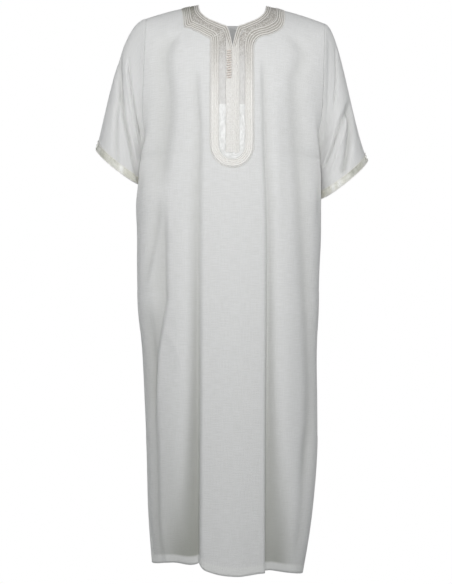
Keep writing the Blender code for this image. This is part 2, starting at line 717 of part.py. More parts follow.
def make_sleeve(sleeve, parts):
    grid, along = sleeve_points(sleeve)
    grid += grid_normals(grid, sleeve.hand) * sleeve_lift(sleeve.hand, along)[..., None]
    rows, columns = along.shape
    faces = tube_faces(rows, columns, sleeve.hand)
    points = grid.reshape(-1, 3)
    name = f"sleeve_{sleeve.name}"
    mesh = mesh_of(name, points, faces)
    normals = np.array([tuple(vertex.normal) for vertex in mesh.vertices])
    finish_piece(name, mesh, CLOTH, 0.0, "ivory_cloth", parts)
    band = faces[-columns:]
    height = CLOTH / 2 + LAYER_GAP
    band_points, band = used_only(points + normals * height, band)
    name = f"cuff_band_{sleeve.name}"
    mesh = mesh_of(name, band_points, band)
    finish_piece(name, mesh, RIBBON, 1.0, "cuff_satin", parts)


def main():
    clear_scene()
    parts = bpy.data.collections.new("djellaba")
    bpy.context.scene.collection.children.link(parts)
    make_front(parts)
    make_back(parts)
    for sleeve in SLEEVES:
        make_sleeve(sleeve, parts)


main()
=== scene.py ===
import math

import bpy
import numpy as np
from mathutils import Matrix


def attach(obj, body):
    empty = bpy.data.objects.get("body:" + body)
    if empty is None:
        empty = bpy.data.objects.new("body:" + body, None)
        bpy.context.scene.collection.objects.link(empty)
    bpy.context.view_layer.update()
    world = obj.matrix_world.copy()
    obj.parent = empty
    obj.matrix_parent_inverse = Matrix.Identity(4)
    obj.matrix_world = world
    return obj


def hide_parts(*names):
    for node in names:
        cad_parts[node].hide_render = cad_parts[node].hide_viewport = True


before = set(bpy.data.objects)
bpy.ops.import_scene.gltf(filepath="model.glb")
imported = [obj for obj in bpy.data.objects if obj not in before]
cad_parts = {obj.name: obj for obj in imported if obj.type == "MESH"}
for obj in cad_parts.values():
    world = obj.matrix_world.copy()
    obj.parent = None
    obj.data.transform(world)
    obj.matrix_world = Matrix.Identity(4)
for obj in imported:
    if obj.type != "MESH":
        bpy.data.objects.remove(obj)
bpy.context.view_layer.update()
print("frame loaded:", len(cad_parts), "pieces")

front, back = -1, 1
right, left = -1, 1
sideNames = {right: "right", left: "left"}


def fillSocket(tree, socket, value):
    # links the socket to another node's output, or sets it to a number, a colour or a vector
    if isinstance(value, bpy.types.NodeSocket):
        tree.links.new(value, socket)
    elif isinstance(value, tuple):
        socket.default_value = (*value, 1.0)[:len(socket.default_value)]
    elif value is not None:
        socket.default_value = value


def addNode(tree, kind, inputs=(), **settings):
    node = tree.nodes.new("ShaderNode" + kind)
    for name, value in settings.items():
        setattr(node, name, value)
    for place, value in dict(inputs).items():
        fillSocket(tree, node.inputs[place], value)
    return node


# The camera stands level with the middle of the robe. The lights are a soft source above it, two
# weaker ones at the sides, two behind and a pale room.
studio = {
    "cameraPlace": (-0.0154, -3.0, -0.654),
    "frameHeight": 1.425,
    "sensor": 36.0,
    "keyPlace": (-0.02, -1.85, 0.10),
    "keyAim": (0.0, 0.0, -0.35),
    "keyPower": 17.6,
    "sideLamps": (((-1.5, -1.1, 0.15), 6.2), ((1.5, -1.1, 0.15), 5.6)),
    "sideAim": (0.0, 0.0, -0.25),
    "backLamps": (((-1.3, 2.2, 0.45), 17.0), ((1.1, 2.3, 0.25), 21.0)),
    "lampSize": 0.7,
    "roomColour": (0.95, 0.98, 1.0),
    "roomLight": 0.245,
    "roomSeen": (1.0, 1.0, 1.0),
    "floorColour": (0.55, 0.56, 0.56),
    "floorRoughness": 0.9,
    "floorHeight": -1.42,
    "floorSize": 14.0,
}


def aimAt(piece, target):
    # turns a camera or lamp so that its -Z axis points at the target
    way = np.array(target) - np.array(piece.location)
    flat = math.hypot(way[0], way[1])
    piece.rotation_euler = (math.atan2(flat, -way[2]), 0.0, math.atan2(-way[0], way[1]))


def addToScene(name, data, place):
    holder = bpy.data.objects.new(name, data)
    holder.location = place
    bpy.context.scene.collection.objects.link(holder)
    return holder


def addLamp(name, place, aim, power):
    lamp = bpy.data.lights.new(name, "AREA")
    lamp.shape = "DISK"
    lamp.size = studio["lampSize"]
    lamp.energy = power
    aimAt(addToScene(name, lamp, place), aim)


def mixForCamera(tree, others, camera):
    # one shader for the light in the scene, another for what the camera sees
    path = addNode(tree, "LightPath")
    return addNode(tree, "MixShader", {0: path.outputs["Is Camera Ray"], 1: others.outputs[0],
                                       2: camera.outputs[0]}).outputs["Shader"]


def makeRoom():
    world = bpy.data.worlds.new("room")
    world.use_nodes = True
    tree = world.node_tree
    tree.nodes.clear()
    light = addNode(tree, "Background", {"Color": studio["roomColour"], "Strength": studio["roomLight"]})
    seen = addNode(tree, "Background", {"Color": studio["roomSeen"]})
    addNode(tree, "OutputWorld", {"Surface": mixForCamera(tree, light, seen)})
    bpy.context.scene.world = world


def makeFloor():
    half = studio["floorSize"] / 2
    mesh = bpy.data.meshes.new("floor")
    corners = [(x * half, y * half, studio["floorHeight"]) for x, y in ((-1, -1), (1, -1), (1, 1), (-1, 1))]
    mesh.from_pydata(corners, [], [(0, 1, 2, 3)])
    floor = addToScene("floor", mesh, (0.0, 0.0, 0.0))
    paint = bpy.data.materials.new("palePaint")
    paint.use_nodes = True
    tree = paint.node_tree
    shader = tree.nodes["Principled BSDF"]
    fillSocket(tree, shader.inputs["Base Color"], studio["floorColour"])
    fillSocket(tree, shader.inputs["Roughness"], studio["floorRoughness"])
    glow = addNode(tree, "Emission")  # the floor runs into the white room behind it
    fillSocket(tree, tree.nodes["Material Output"].inputs["Surface"], mixForCamera(tree, shader, glow))
    mesh.materials.append(paint)


def makeStudio():
    lens = bpy.data.cameras.new("camera")
    lens.sensor_fit = "VERTICAL"
    lens.sensor_height = studio["sensor"]
    lens.lens = -studio["cameraPlace"][1] * studio["sensor"] / studio["frameHeight"]
    camera = addToScene("camera", lens, studio["cameraPlace"])
    camera.rotation_euler = (math.pi / 2, 0.0, 0.0)
    bpy.context.scene.camera = camera
    bpy.context.scene.view_settings.view_transform = "Standard"
    addLamp("keyLamp", studio["keyPlace"], studio["keyAim"], studio["keyPower"])
    for number, (place, power) in enumerate(studio["sideLamps"]):
        addLamp(f"sideLamp{number}", place, studio["sideAim"], power)
    for number, (place, power) in enumerate(studio["backLamps"]):
        addLamp(f"backLamp{number}", place, studio["keyAim"], power)
    makeRoom()
    makeFloor()


makeStudio()
print("camera, lamps and floor set")


def smoothStep(value):
    # rises from 0 to 1 and is level at both ends
    value = np.clip(value, 0.0, 1.0)
    return value * value * (3.0 - 2.0 * value)


def bell(distance, width):
    return np.exp(-(distance / width) ** 2)


def readCurve(places, values, where):
    # a smooth curve through the values, a cubic on each stretch with the slopes of its neighbours
    places = np.asarray(places, dtype=float)
    values = np.asarray(values, dtype=float)
    slopes = np.gradient(values, places)
    where = np.clip(where, places[0], places[-1])
    cell = np.clip(np.searchsorted(places, where) - 1, 0, len(places) - 2)
    span = places[cell + 1] - places[cell]
    part = (where - places[cell]) / span
    rise = smoothStep(part)
    start = part * (1.0 - part) ** 2 * span * slopes[cell]
    end = part * part * (part - 1.0) * span * slopes[cell + 1]
    return values[cell] * (1.0 - rise) + values[cell + 1] * rise + start + end


def unit(vectors):
    return vectors / np.maximum(np.linalg.norm(vectors, axis=-1, keepdims=True), 1e-9)


def lengthsAlong(points):
    # distance from the first point, along the line
    steps = np.linalg.norm(np.diff(points, axis=0), axis=-1)
    return np.concatenate([np.zeros_like(steps[:1]), np.cumsum(steps, axis=0)])


def inMetres(table):
    # a table of lengths given in millimetres
    if isinstance(table, dict):
        return {name: inMetres(value) for name, value in table.items()}
    return tuple(inMetres(value) for value in table) if isinstance(table, tuple) else table / 1000


def readLine(line, length, places):
    # the two values of a line at some places along its length
    return np.stack([np.interp(places, length, line[:, i]) for i in (0, 1)], axis=-1)


def distanceToLine(first, second, line):
    # the shortest distance from each place to a line of straight stretches, all on a flat plane
    nearest = np.full(np.shape(first), np.inf)
    for (a, b), (c, d) in zip(line[:-1], line[1:]):
        span = max((c - a) ** 2 + (d - b) ** 2, 1e-12)
        part = np.clip(((first - a) * (c - a) + (second - b) * (d - b)) / span, 0.0, 1.0)
        nearest = np.minimum(nearest, np.hypot(first - a - part * (c - a), second - b - part * (d - b)))
    return nearest


robe = bpy.data.collections.new("djellaba")
bpy.context.scene.collection.children.link(robe)


# A piece is made of surfaces. Each is a grid of points, or a stack of equal grids, and its quads
# join each point to the next in its row and column. A closed grid joins its last column to its
# first, and its open ends can be capped. A surface can have its own finish and marks, which are
# values between 0 and 1 that the finish reads.
def addPiece(name, surfaces, finish, stands=(), wall=0.0, wallSide=0.0):
    markNames = sorted({mark for surface in surfaces for mark in surface.get("marks", {})})
    marks = {mark: [] for mark in markNames}
    points, faces, places, faceFinish = [], [], [], []
    finishes = [finish]
    first = 0
    for surface in surfaces:
        grid = surface["grid"] if surface["grid"].ndim == 4 else surface["grid"][None]
        index = first + np.arange(grid[..., 0].size).reshape(grid.shape[:3])
        first += index.size
        for mark in markNames:
            values = surface.get("marks", {}).get(mark, 0.0)
            marks[mark].append(np.broadcast_to(values, grid.shape[:3]).ravel())
        points.append(grid.reshape(-1, 3))
        if surface.get("closed"):
            index = np.concatenate([index, index[:, :, :1]], axis=2)
        uv = np.broadcast_to(surface.get("uv", 0.0), (*index.shape, 2))
        corners = ((slice(0, -1), slice(0, -1)), (slice(0, -1), slice(1, None)),
                   (slice(1, None), slice(1, None)), (slice(1, None), slice(0, -1)))
        quads = np.stack([index[:, i, j] for i, j in corners], axis=-1).reshape(-1, 4)
        spots = np.stack([uv[:, i, j] for i, j in corners], axis=-2).reshape(-1, 4, 2)
        if "keep" in surface:
            quads = quads[surface["keep"].ravel()]
            spots = spots[surface["keep"].ravel()]
        polygons = [(quads, spots)]
        if surface.get("capped"):
            for ring in (index[:, 0, -2::-1], index[:, -1, :-1]):
                polygons.append((ring, np.zeros((*ring.shape, 2))))
        own = surface.get("finish", finish)
        if own not in finishes:
            finishes.append(own)
        for corners, spots in polygons:
            if surface.get("flip"):
                corners = corners[:, ::-1]
                spots = spots[:, ::-1]
            faces.append(corners)
            places.append(spots.reshape(-1, 2))
            faceFinish.append(np.full(len(corners), finishes.index(own)))

    used = np.unique(np.concatenate([corners.ravel() for corners in faces]))
    renumber = np.zeros(first, dtype=int)
    renumber[used] = np.arange(len(used))
    mesh = bpy.data.meshes.new(name)
    polygons = [polygon for corners in faces for polygon in renumber[corners].tolist()]
    mesh.from_pydata(np.concatenate(points)[used].tolist(), [], polygons)
    mesh.uv_layers.new(name="cloth")
    mesh.uv_layers["cloth"].data.foreach_set("uv", np.concatenate(places).astype(np.float32).ravel())
    mesh.polygons.foreach_set("material_index", np.concatenate(faceFinish).astype(np.int32))
    for mark, values in marks.items():
        attribute = mesh.attributes.new(mark, "FLOAT", "POINT")
        attribute.data.foreach_set("value", np.concatenate(values)[used].astype(np.float32))
    for each in finishes:
        mesh.materials.append(each)
    mesh.shade_smooth()
    piece = bpy.data.objects.new(name, mesh)
    robe.objects.link(piece)
    if wall:
        solid = piece.modifiers.new("wall", "SOLIDIFY")
        solid.thickness = wall
        solid.offset = wallSide
        solid.use_even_offset = False
    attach(piece, "root")
    if stands:
        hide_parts(*stands)
    return piece


# The body of the robe is a front and a back panel. A place on a panel is given by "across", -1 at
# the wearer's right edge and 1 at the left, and "down", the way along the cloth from the shoulders.
bodyForm = {
    "wall": 0.0012,
    "seamGap": 0.0009,
    "shoulderRise": 0.048,
    "shoulderSlope": 1.00,
    "shoulderTilt": 0.015,
    "shoulderFade": 0.90,
    "chestDrop": 0.20,
    "chestArc": 0.26,
    "cornerPower": 0.66,
    "underarm": 0.395,
    "armholeReach": 0.068,
    "length": 1.373,
    "pocket": (0.715, 0.805, 0.007),  # top, bottom and how far each edge stands back
    "vent": (1.070, 1.400, 0.016),
    "tucks": ((right, -0.365, 0.070, 0.038), (left, -0.385, 0.080, 0.040)),
    "tuckStart": {front: 0.86, back: 0.70},
    "overhangs": ((right, -0.290, 0.060, 0.0095), (right, -0.408, 0.050, -0.0125),
                  (left, -0.285, 0.060, 0.0150), (left, -0.430, 0.055, -0.0165)),
    "overhangPlace": (0.86, 0.12),
    "overhangStand": 0.3,
    "overhangEdge": 0.25,
    "foldEdgePower": 8,
    "slopeStep": 0.0006,
}

# height below the shoulder ridge, right side, left side, reach to front, reach to back, side turn
bodySections = np.array([
    (-1.36, -0.190, 0.166, 0.138, 0.125, 90),
    (-1.18, -0.204, 0.193, 0.135, 0.127, 90),
    (-1.04, -0.208, 0.205, 0.132, 0.128, 90),
    (-0.92, -0.213, 0.206, 0.130, 0.126, 90),
    (-0.80, -0.219, 0.205, 0.128, 0.121, 90),
    (-0.68, -0.229, 0.209, 0.126, 0.112, 90),
    (-0.60, -0.231, 0.211, 0.125, 0.108, 90),
    (-0.50, -0.232, 0.218, 0.125, 0.108, 90),
    (-0.42, -0.240, 0.226, 0.126, 0.112, 90),
    (-0.35, -0.231, 0.218, 0.127, 0.117, 86),
    (-0.28, -0.219, 0.212, 0.127, 0.122, 64),
    (-0.20, -0.215, 0.216, 0.126, 0.124, 54),
    (-0.10, -0.211, 0.219, 0.124, 0.120, 52),
    (0.00, -0.207, 0.222, 0.122, 0.112, 52),
])

# across, then how much shorter the hem hangs there
hemLifts = {
    front: ((-1.00, 0.004), (-0.62, 0.015), (-0.30, 0.0155), (-0.24, 0.021), (-0.20, 0.012), (-0.14, 0.006),
            (0.06, -0.002), (0.30, 0.002), (0.36, 0.000), (0.42, -0.001), (0.46, -0.003), (0.70, -0.0095),
            (1.00, -0.019)),
    back: ((-1.00, 0.000), (-0.62, 0.006), (-0.30, 0.004), (0.06, 0.002), (0.46, 0.004), (0.70, 0.005),
           (1.00, -0.010)),
}

# Folds that run down the cloth, in millimetres: the line they follow as (x, height), their widths to
# the wearer's right and left, at the end too where they grow, their depth at the top and bottom (below
# zero for a trough), and the lengths over which they rise from the flat cloth and sink back into it.
bodyFolds = {
    front: [
        # the two deep troughs that leave a broad flat panel between them
        {"line": ((-86, -115), (-86, -165), (-85, -205), (-82, -245), (-80.5, -290), (-82, -380), (-83, -556),
                  (-84, -790), (-86, -1023), (-88, -1187), (-91, -1420)),
         "widths": (15.5, 8.5), "endWidths": (110, 12), "growth": 6.3, "depths": (-6, -47), "deepening": 1.6,
         "fades": (60, 0)},
        {"line": ((70, -80), (72, -130), (73.5, -180), (75, -228), (78, -345), (82, -438), (84, -673),
                  (83, -907), (83, -1093), (84, -1420)),
         "widths": (6, 14), "endWidths": (6.2, 90), "growth": 5.2, "depths": (-6, -39), "deepening": 1.6,
         "fades": (85, 0)},
        {"line": ((2, -300), (0, -900), (-2, -1420)),
         "widths": (62, 62), "depths": (2, 12), "fades": (200, 0)},
        # from the collar over the wearer's right chest, and on down beside the pocket bag
        {"line": ((-118, -30), (-144, -52), (-158, -82), (-162, -120), (-157, -154), (-154, -192),
                  (-158, -272), (-164, -319), (-170, -390), (-178, -455)),
         "widths": (30, 17), "depths": (-8, -10), "fades": (40, 120)},
        {"line": ((-172, -410), (-182, -488), (-191, -536), (-201, -585), (-213, -650)),
         "widths": (14, 8), "depths": (-5, -6), "fades": (80, 60)},
        {"line": ((-163, -400), (-163, -496), (-163, -555), (-162, -637), (-161, -663), (-165, -692),
                  (-174, -737), (-183, -784), (-190, -851), (-195, -911), (-196, -1000)),
         "widths": (28, 8), "depths": (-8, -16), "fades": (140, 130)},
        # from the collar over the wearer's left chest and down the side
        {"line": ((126, -26), (146, -50), (158, -66), (166, -88), (162, -112), (153, -135), (148, -170),
                  (150, -225), (154, -295), (161, -390), (168, -496), (177, -633), (185, -772), (190, -892),
                  (188, -965), (182, -1045), (176, -1160)),
         "widths": (18, 24), "endWidths": (18, 9), "depths": (-5.5, -12), "fades": (50, 160)},
        # ridges down the side parts
        {"line": ((124, -400), (130, -800), (140, -1420)),
         "widths": (20, 20), "depths": (2, 3), "fades": (140, 0)},
        {"line": ((-122, -400), (-126, -620), (-130, -920)),
         "widths": (20, 20), "depths": (2, 4), "fades": (140, 200)},
        # the side parts sink back below the knee
        {"line": ((-160, -800), (-157, -1100), (-150, -1420)),
         "widths": (40, 38), "depths": (-1, -34), "deepening": 2.4, "fades": (200, 0)},
        {"line": ((130, -900), (126, -1150), (120, -1420)),
         "widths": (22, 24), "depths": (-1, -20), "deepening": 2.2, "fades": (200, 0)},
        # a shallow ridge beside the collar and down the chest
        {"line": ((104, -150), (106, -300), (112, -550)),
         "widths": (14, 12), "depths": (1.5, 3), "fades": (100, 180)},
        # beside the turned edges of the side vents
        {"line": ((-203, -640), (-201, -780), (-195, -900), (-190, -1040), (-190, -1140), (-191, -1210),
                  (-188, -1300)),
         "widths": (18, 12), "endWidths": (16, 11), "depths": (-7, -12), "fades": (120, 0)},
        {"line": ((178, -940), (172, -1099), (165, -1210), (156, -1310)),
         "widths": (12, 12), "depths": (-3, -7), "fades": (140, 80)},
    ],
    back: [
        {"line": ((-98, -160), (-112, -1420)), "widths": (22, 30), "depths": (-8, -34), "fades": (200, 0)},
        {"line": ((-20, -220), (-30, -1420)), "widths": (26, 26), "depths": (-5, -26), "fades": (260, 0)},
        {"line": ((66, -140), (58, -1420)), "widths": (30, 20), "depths": (-9, -38), "fades": (200, 0)},
        {"line": ((136, -300), (128, -1420)), "widths": (22, 22), "depths": (-7, -24), "fades": (240, 0)},
        {"line": ((-60, -100), (-70, -240), (-64, -460), (-66, -700)),
         "widths": (16, 16), "depths": (-4, -4), "fades": (100, 220)},
        {"line": ((20, -60), (26, -200), (20, -420)),
         "widths": (18, 14), "depths": (-3, -5), "fades": (80, 160)},
        {"line": ((-165, -80), (-172, -200), (-168, -360)),
         "widths": (14, 18), "depths": (-4, -5), "fades": (60, 120)},
        {"line": ((158, -100), (168, -240), (176, -400)),
         "widths": (18, 14), "depths": (-5, -4), "fades": (80, 120)},
    ],
}

# short creases in any direction, in millimetres: width, depth, and their line as (x, height)
bodyCreases = {
    front: [
        (8, 1.3, ((-157, -745), (-146, -762), (-134, -780), (-126, -808), (-123, -838), (-136, -862))),
        (3.5, -1.6, ((-113, -483), (-96, -482), (-82, -481))),
        (3, -1.6, ((150, -633), (172, -642), (187, -647), (206, -652))),
        (3.5, -1.4, ((-206, -655), (-186, -652), (-168, -655))),
    ],
    back: [
        (6, -2.6, ((170, -780), (150, -800), (120, -845))),
        (3.2, -1.6, ((-206, -650), (-182, -646), (-158, -640))),
    ],
}


def readSection(column, height):
    return readCurve(bodySections[:, 0], bodySections[:, column], height)


def chestTurn(down):
    return np.clip(down / bodyForm["chestArc"], 0.0, 1.0) * math.pi / 2


def fallBelowRidge(down):
    # a quarter of an oval over the chest, then straight down
    return (-bodyForm["chestDrop"] * (1.0 - np.cos(chestTurn(down)))
            - np.maximum(down - bodyForm["chestArc"], 0.0))


def sectionWidth(down):
    # middle, half width and turn at the sides, of the level section at a place down the cloth
    fall = fallBelowRidge(down)
    rightSide = readSection(1, fall)
    leftSide = readSection(2, fall)
    return (leftSide + rightSide) / 2, (leftSide - rightSide) / 2, np.radians(readSection(5, fall))


def acrossOf(x, down):
    middle, half, turn = sectionWidth(down)
    return np.arcsin(np.clip((x - middle) / half * np.sin(turn), -1.0, 1.0)) / turn


def sideOpening(down):
    # how far a panel's edge stands back from the side seam, at the pocket slit and the vent
    top, bottom, standBack = bodyForm["pocket"]
    pocket = standBack * smoothStep(1.0 - np.abs(down - (top + bottom) / 2) / ((bottom - top) / 2))
    top, bottom, standBack = bodyForm["vent"]
    return pocket + standBack * smoothStep((down - top) / (bottom - top))


def panelBase(face, across, down):
    # The panel before its folds. Each level section is a bowed curve from side to side; its reach
    # grows from nothing at the shoulders as the chest turns down; the shoulders slope to each side.
    middle, half, turn = sectionWidth(down)
    fall = fallBelowRidge(down)
    reach = readSection(3 if face == front else 4, fall) * np.sin(chestTurn(down))
    x = middle + half * np.sin(turn * across) / np.sin(turn)
    power = bodyForm["cornerPower"]
    side = np.clip(np.cos(turn), 0.0, 1.0) ** power
    bow = (np.clip(np.cos(turn * across), 0.0, 1.0) ** power - side) / (1.0 - side)
    part = np.clip(down / bodyForm["underarm"], 0.0, 1.0)
    armhole = bodyForm["armholeReach"] * np.sqrt(np.clip(np.sin(math.pi * part), 0.0, 1.0))
    edge = armhole + sideOpening(down)
    y = face * (bodyForm["seamGap"] / 2 + edge + (reach - edge) * bow)
    ridge = bodyForm["shoulderRise"] - bodyForm["shoulderSlope"] * x * x - bodyForm["shoulderTilt"] * x
    z = fall + ridge * np.clip(1.0 - down / bodyForm["shoulderFade"], 0.0, 1.0) ** 2
    start = bodyForm["tuckStart"][face]
    for hand, height, spread, depth in bodyForm["tucks"]:
        near = smoothStep((across * hand - start) / (1.0 - start))
        x = x - hand * depth * near * bell(z - height, spread)
    if face == front:
        middle, spread = bodyForm["overhangPlace"]
        for hand, height, fade, push in bodyForm["overhangs"]:
            rise = bell(across * hand - middle, spread) * bell(z - height, fade)
            x = x + hand * push * rise * np.clip((1.0 - np.abs(across)) / bodyForm["overhangEdge"], 0.0, 1.0)
            y = y - bodyForm["overhangStand"] * abs(push) * rise
    return np.stack([x, y, z], axis=-1)


def foldLift(face, across, point):
    # how far the cloth stands out of its plain form: the sum of a bell across each fold's line
    x, height = point[..., 0] * 1000, point[..., 2] * 1000
    total = np.zeros_like(x)
    for fold in bodyFolds[face]:
        line = np.array(fold["line"])[::-1]
        top, bottom = line[-1, 1], line[0, 1]
        part = np.clip((top - height) / (top - bottom), 0.0, 1.0)
        place = readCurve(line[:, 1], line[:, 0], height)
        shallow, deep = fold["depths"]
        depth = shallow + (deep - shallow) * part ** fold.get("deepening", 1.0)
        depth = depth * smoothStep((top - height) / fold["fades"][0])
        if fold["fades"][1]:
            depth = depth * smoothStep((height - bottom) / fold["fades"][1])
        begin, end = fold["widths"], fold.get("endWidths", fold["widths"])
        growth = part ** fold.get("growth", 1.0)
        widths = [start + (finish - start) * growth for start, finish in zip(begin, end)]
        total += depth * bell(x - place, np.where(x < place, *widths))
    for width, depth, line in bodyCreases[face]:
        total += depth * bell(distanceToLine(x, height, line), width)
    return total / 1000 * (1.0 - np.abs(across) ** bodyForm["foldEdgePower"])


def outwardAt(form, face, across, down):
    # the way out of a surface, square to its slopes across and down
    step = bodyForm["slopeStep"]
    alongAcross = form(face, across + step, down) - form(face, across - step, down)
    alongDown = form(face, across, down + step) - form(face, across, down - step)
    return unit(face * np.cross(alongAcross, alongDown))


def panelPoints(face, across, down):
    base = panelBase(face, across, down)
    lift = foldLift(face, across, base)
    return base + outwardAt(panelBase, face, across, down) * lift[..., None]


def overPanelAcross(face, across, down, height):
    # points at a height over the folded cloth, and the way out of the cloth there
    outward = outwardAt(panelPoints, face, across, down)
    height = np.broadcast_to(height, across.shape)
    return panelPoints(face, across, down) + outward * height[..., None], outward


def overPanel(face, x, down, height):
    return overPanelAcross(face, acrossOf(x, down), down, height)


def panelLength(face, across):
    places, lifts = zip(*hemLifts[face])
    return bodyForm["length"] - readCurve(places, lifts, across)


# Finishes. Places on the cloth are in metres, across and down, and marks come from the pieces.
def newGroup(name, inputs, outputs):
    group = bpy.data.node_groups.new(name, "ShaderNodeTree")
    for label, kind, value in inputs:
        socket = group.interface.new_socket(label, in_out="INPUT", socket_type=kind)
        if value is not None:
            socket.default_value = value
    for label in outputs:
        group.interface.new_socket(label, in_out="OUTPUT", socket_type="NodeSocketFloat")
    return group, group.nodes.new("NodeGroupInput").outputs, group.nodes.new("NodeGroupOutput").inputs


def mathNode(tree, operation, first, second=None):
    return addNode(tree, "Math", {0: first, 1: second}, operation=operation).outputs["Value"]


def blendColour(tree, amount, first, second):
    return addNode(tree, "Mix", {0: amount, 6: first, 7: second}, data_type="RGBA").outputs[2]


def ramp(tree, value, ends):
    # 0 at the first of the ends and beyond it, 1 at the second
    low, high = ends
    return addNode(tree, "MapRange", {"Value": value, "From Min": low, "From Max": high}).outputs["Result"]


def stretchedNoise(tree, vector, stretch, detail):
    # noise with its own scale along and across the cloth
    mapping = addNode(tree, "Mapping", {"Vector": vector, "Scale": stretch})
    vector = mapping.outputs["Vector"]
    return addNode(tree, "TexNoise", {"Vector": vector, "Scale": 1.0, "Detail": detail}).outputs["Fac"]


weaveForm = {
    "weftSlubs": (42.0, 620.0),
    "warpSlubs": (560.0, 30.0),
    "warpShare": 0.6,
    "slubLevel": 0.8,
    "threadHeight": 0.25,
    "slubHeight": 4.0,
    "widePuckers": (1.0, 0.35),
    "finePuckers": (3.1, 0.9),
    "fineShare": 0.3,
}


def makeWeaveGroup():
    # an even plain weave with slubs: threads are sine waves both ways, added so that they pass over
    # and under each other
    group, given, result = newGroup("plainWeave", (
        ("Place", "NodeSocketVector", None),
        ("Threads per metre", "NodeSocketFloat", 900.0),
        ("Slub", "NodeSocketFloat", 0.5),
    ), ("Height", "Slubs"))
    split = addNode(group, "SeparateXYZ", {"Vector": given["Place"]}).outputs
    turns = mathNode(group, "MULTIPLY", given["Threads per metre"], 2 * math.pi)
    warp, weft = (mathNode(group, "SINE", mathNode(group, "MULTIPLY", split[way], turns)) for way in "XY")
    crossed = mathNode(group, "MULTIPLY", warp, weft)
    longWeft = stretchedNoise(group, given["Place"], weaveForm["weftSlubs"], 3.0)
    longWarp = stretchedNoise(group, given["Place"], weaveForm["warpSlubs"], 2.0)
    slubs = mathNode(group, "ADD", longWeft, mathNode(group, "MULTIPLY", longWarp, weaveForm["warpShare"]))
    slubs = mathNode(group, "SUBTRACT", slubs, weaveForm["slubLevel"])
    height = mathNode(group, "MULTIPLY", crossed, weaveForm["threadHeight"])
    raised = mathNode(group, "MULTIPLY", mathNode(group, "MULTIPLY", slubs, given["Slub"]),
                      weaveForm["slubHeight"])
    fillSocket(group, result["Height"], mathNode(group, "ADD", height, raised))
    fillSocket(group, result["Slubs"], slubs)
    return group


def makeCrushGroup():
    # satin that puckers between its rows of stitching: short creases across the ribbon
    group, given, result = newGroup("puckeredSatin", (
        ("Place", "NodeSocketVector", None),
        ("Creases per metre", "NodeSocketFloat", 90.0),
    ), ("Height", "Creases"))
    scaled = addNode(group, "VectorMath", {0: given["Place"], "Scale": given["Creases per metre"]},
                     operation="SCALE").outputs["Vector"]
    wide = stretchedNoise(group, scaled, weaveForm["widePuckers"], 3.0)
    fine = stretchedNoise(group, scaled, weaveForm["finePuckers"], 2.0)
    fine = mathNode(group, "MULTIPLY", fine, weaveForm["fineShare"])
    fillSocket(group, result["Height"], mathNode(group, "ADD", wide, fine))
    fillSocket(group, result["Creases"], wide)
    return group


weaveGroup = makeWeaveGroup()
crushGroup = makeCrushGroup()


def newFinish(name, roughness, sheen=0.0):
    finish = bpy.data.materials.new(name)
    finish.use_nodes = True
    tree = finish.node_tree
    shader = tree.nodes["Principled BSDF"]
    for label, value in (("Roughness", roughness), ("Sheen Weight", sheen), ("Sheen Roughness", 0.5)):
        fillSocket(tree, shader.inputs[label], value)
    return finish, tree, shader


def paint(tree, shader, colour, height, relief):
    bump = addNode(tree, "Bump", {"Height": height, "Distance": relief})
    fillSocket(tree, shader.inputs["Base Color"], colour)
    fillSocket(tree, shader.inputs["Normal"], bump.outputs["Normal"])


def clothPlace(tree):
    return addNode(tree, "UVMap", uv_map="cloth").outputs["UV"]


def markOn(tree, name):
    return addNode(tree, "Attribute", attribute_name=name).outputs["Fac"]


clothLooks = {
    "colour": (0.81, 0.81, 0.805),
    "slubColour": (0.76, 0.76, 0.75),
    # painted shade for the troughs of the folds
    "troughShadeColour": (0.42, 0.425, 0.38),
    "hemColour": (0.84, 0.84, 0.825),
    "slubRange": (0.12, -0.14),
    "roughness": 0.88,
    "sheen": 0.15,
    "threads": 900.0,
    "slub": 0.5,
    "relief": 0.00035,
}


def makeClothFinish():
    # slubs darken the cloth a little, the troughs of the folds get painted shade in a darker, warmer colour,
    # turned hems are lighter
    finish, tree, shader = newFinish("ivoryCloth", clothLooks["roughness"], clothLooks["sheen"])
    weave = addNode(tree, "Group", {"Place": clothPlace(tree), "Threads per metre": clothLooks["threads"],
                                    "Slub": clothLooks["slub"]}, node_tree=weaveGroup).outputs
    slubby = blendColour(tree, ramp(tree, weave["Slubs"], clothLooks["slubRange"]), clothLooks["colour"],
                         clothLooks["slubColour"])
    # painted shade, darker and warmer, in the troughs of the folds
    warm = blendColour(tree, markOn(tree, "trough"), slubby, clothLooks["troughShadeColour"])
    light = blendColour(tree, markOn(tree, "doubled"), warm, clothLooks["hemColour"])
    paint(tree, shader, light, weave["Height"], clothLooks["relief"])
    return finish


ribbonLooks = {
    "dark": (0.43, 0.405, 0.37),
    "fleck": (0.78, 0.76, 0.73),
    "plain": (0.68, 0.67, 0.655),
    # a painted highlight for the bottom of the bib, and painted shade in its creases
    "bright": (0.85, 0.85, 0.84),
    "crease": (0.755, 0.755, 0.74),
    "shaded": (0.28, 0.275, 0.225),
    "flecksPerMetre": 380.0,
    "fleckRange": (0.62, 0.22),
    "fleckRelief": -0.7,
    "creasesPerMetre": 190.0,
    "creaseRange": (0.40, 0.62),
    "roughness": (0.46, 0.12),  # where the ribbon is dull, and how much less where it is bright
    "relief": 0.0006,
}


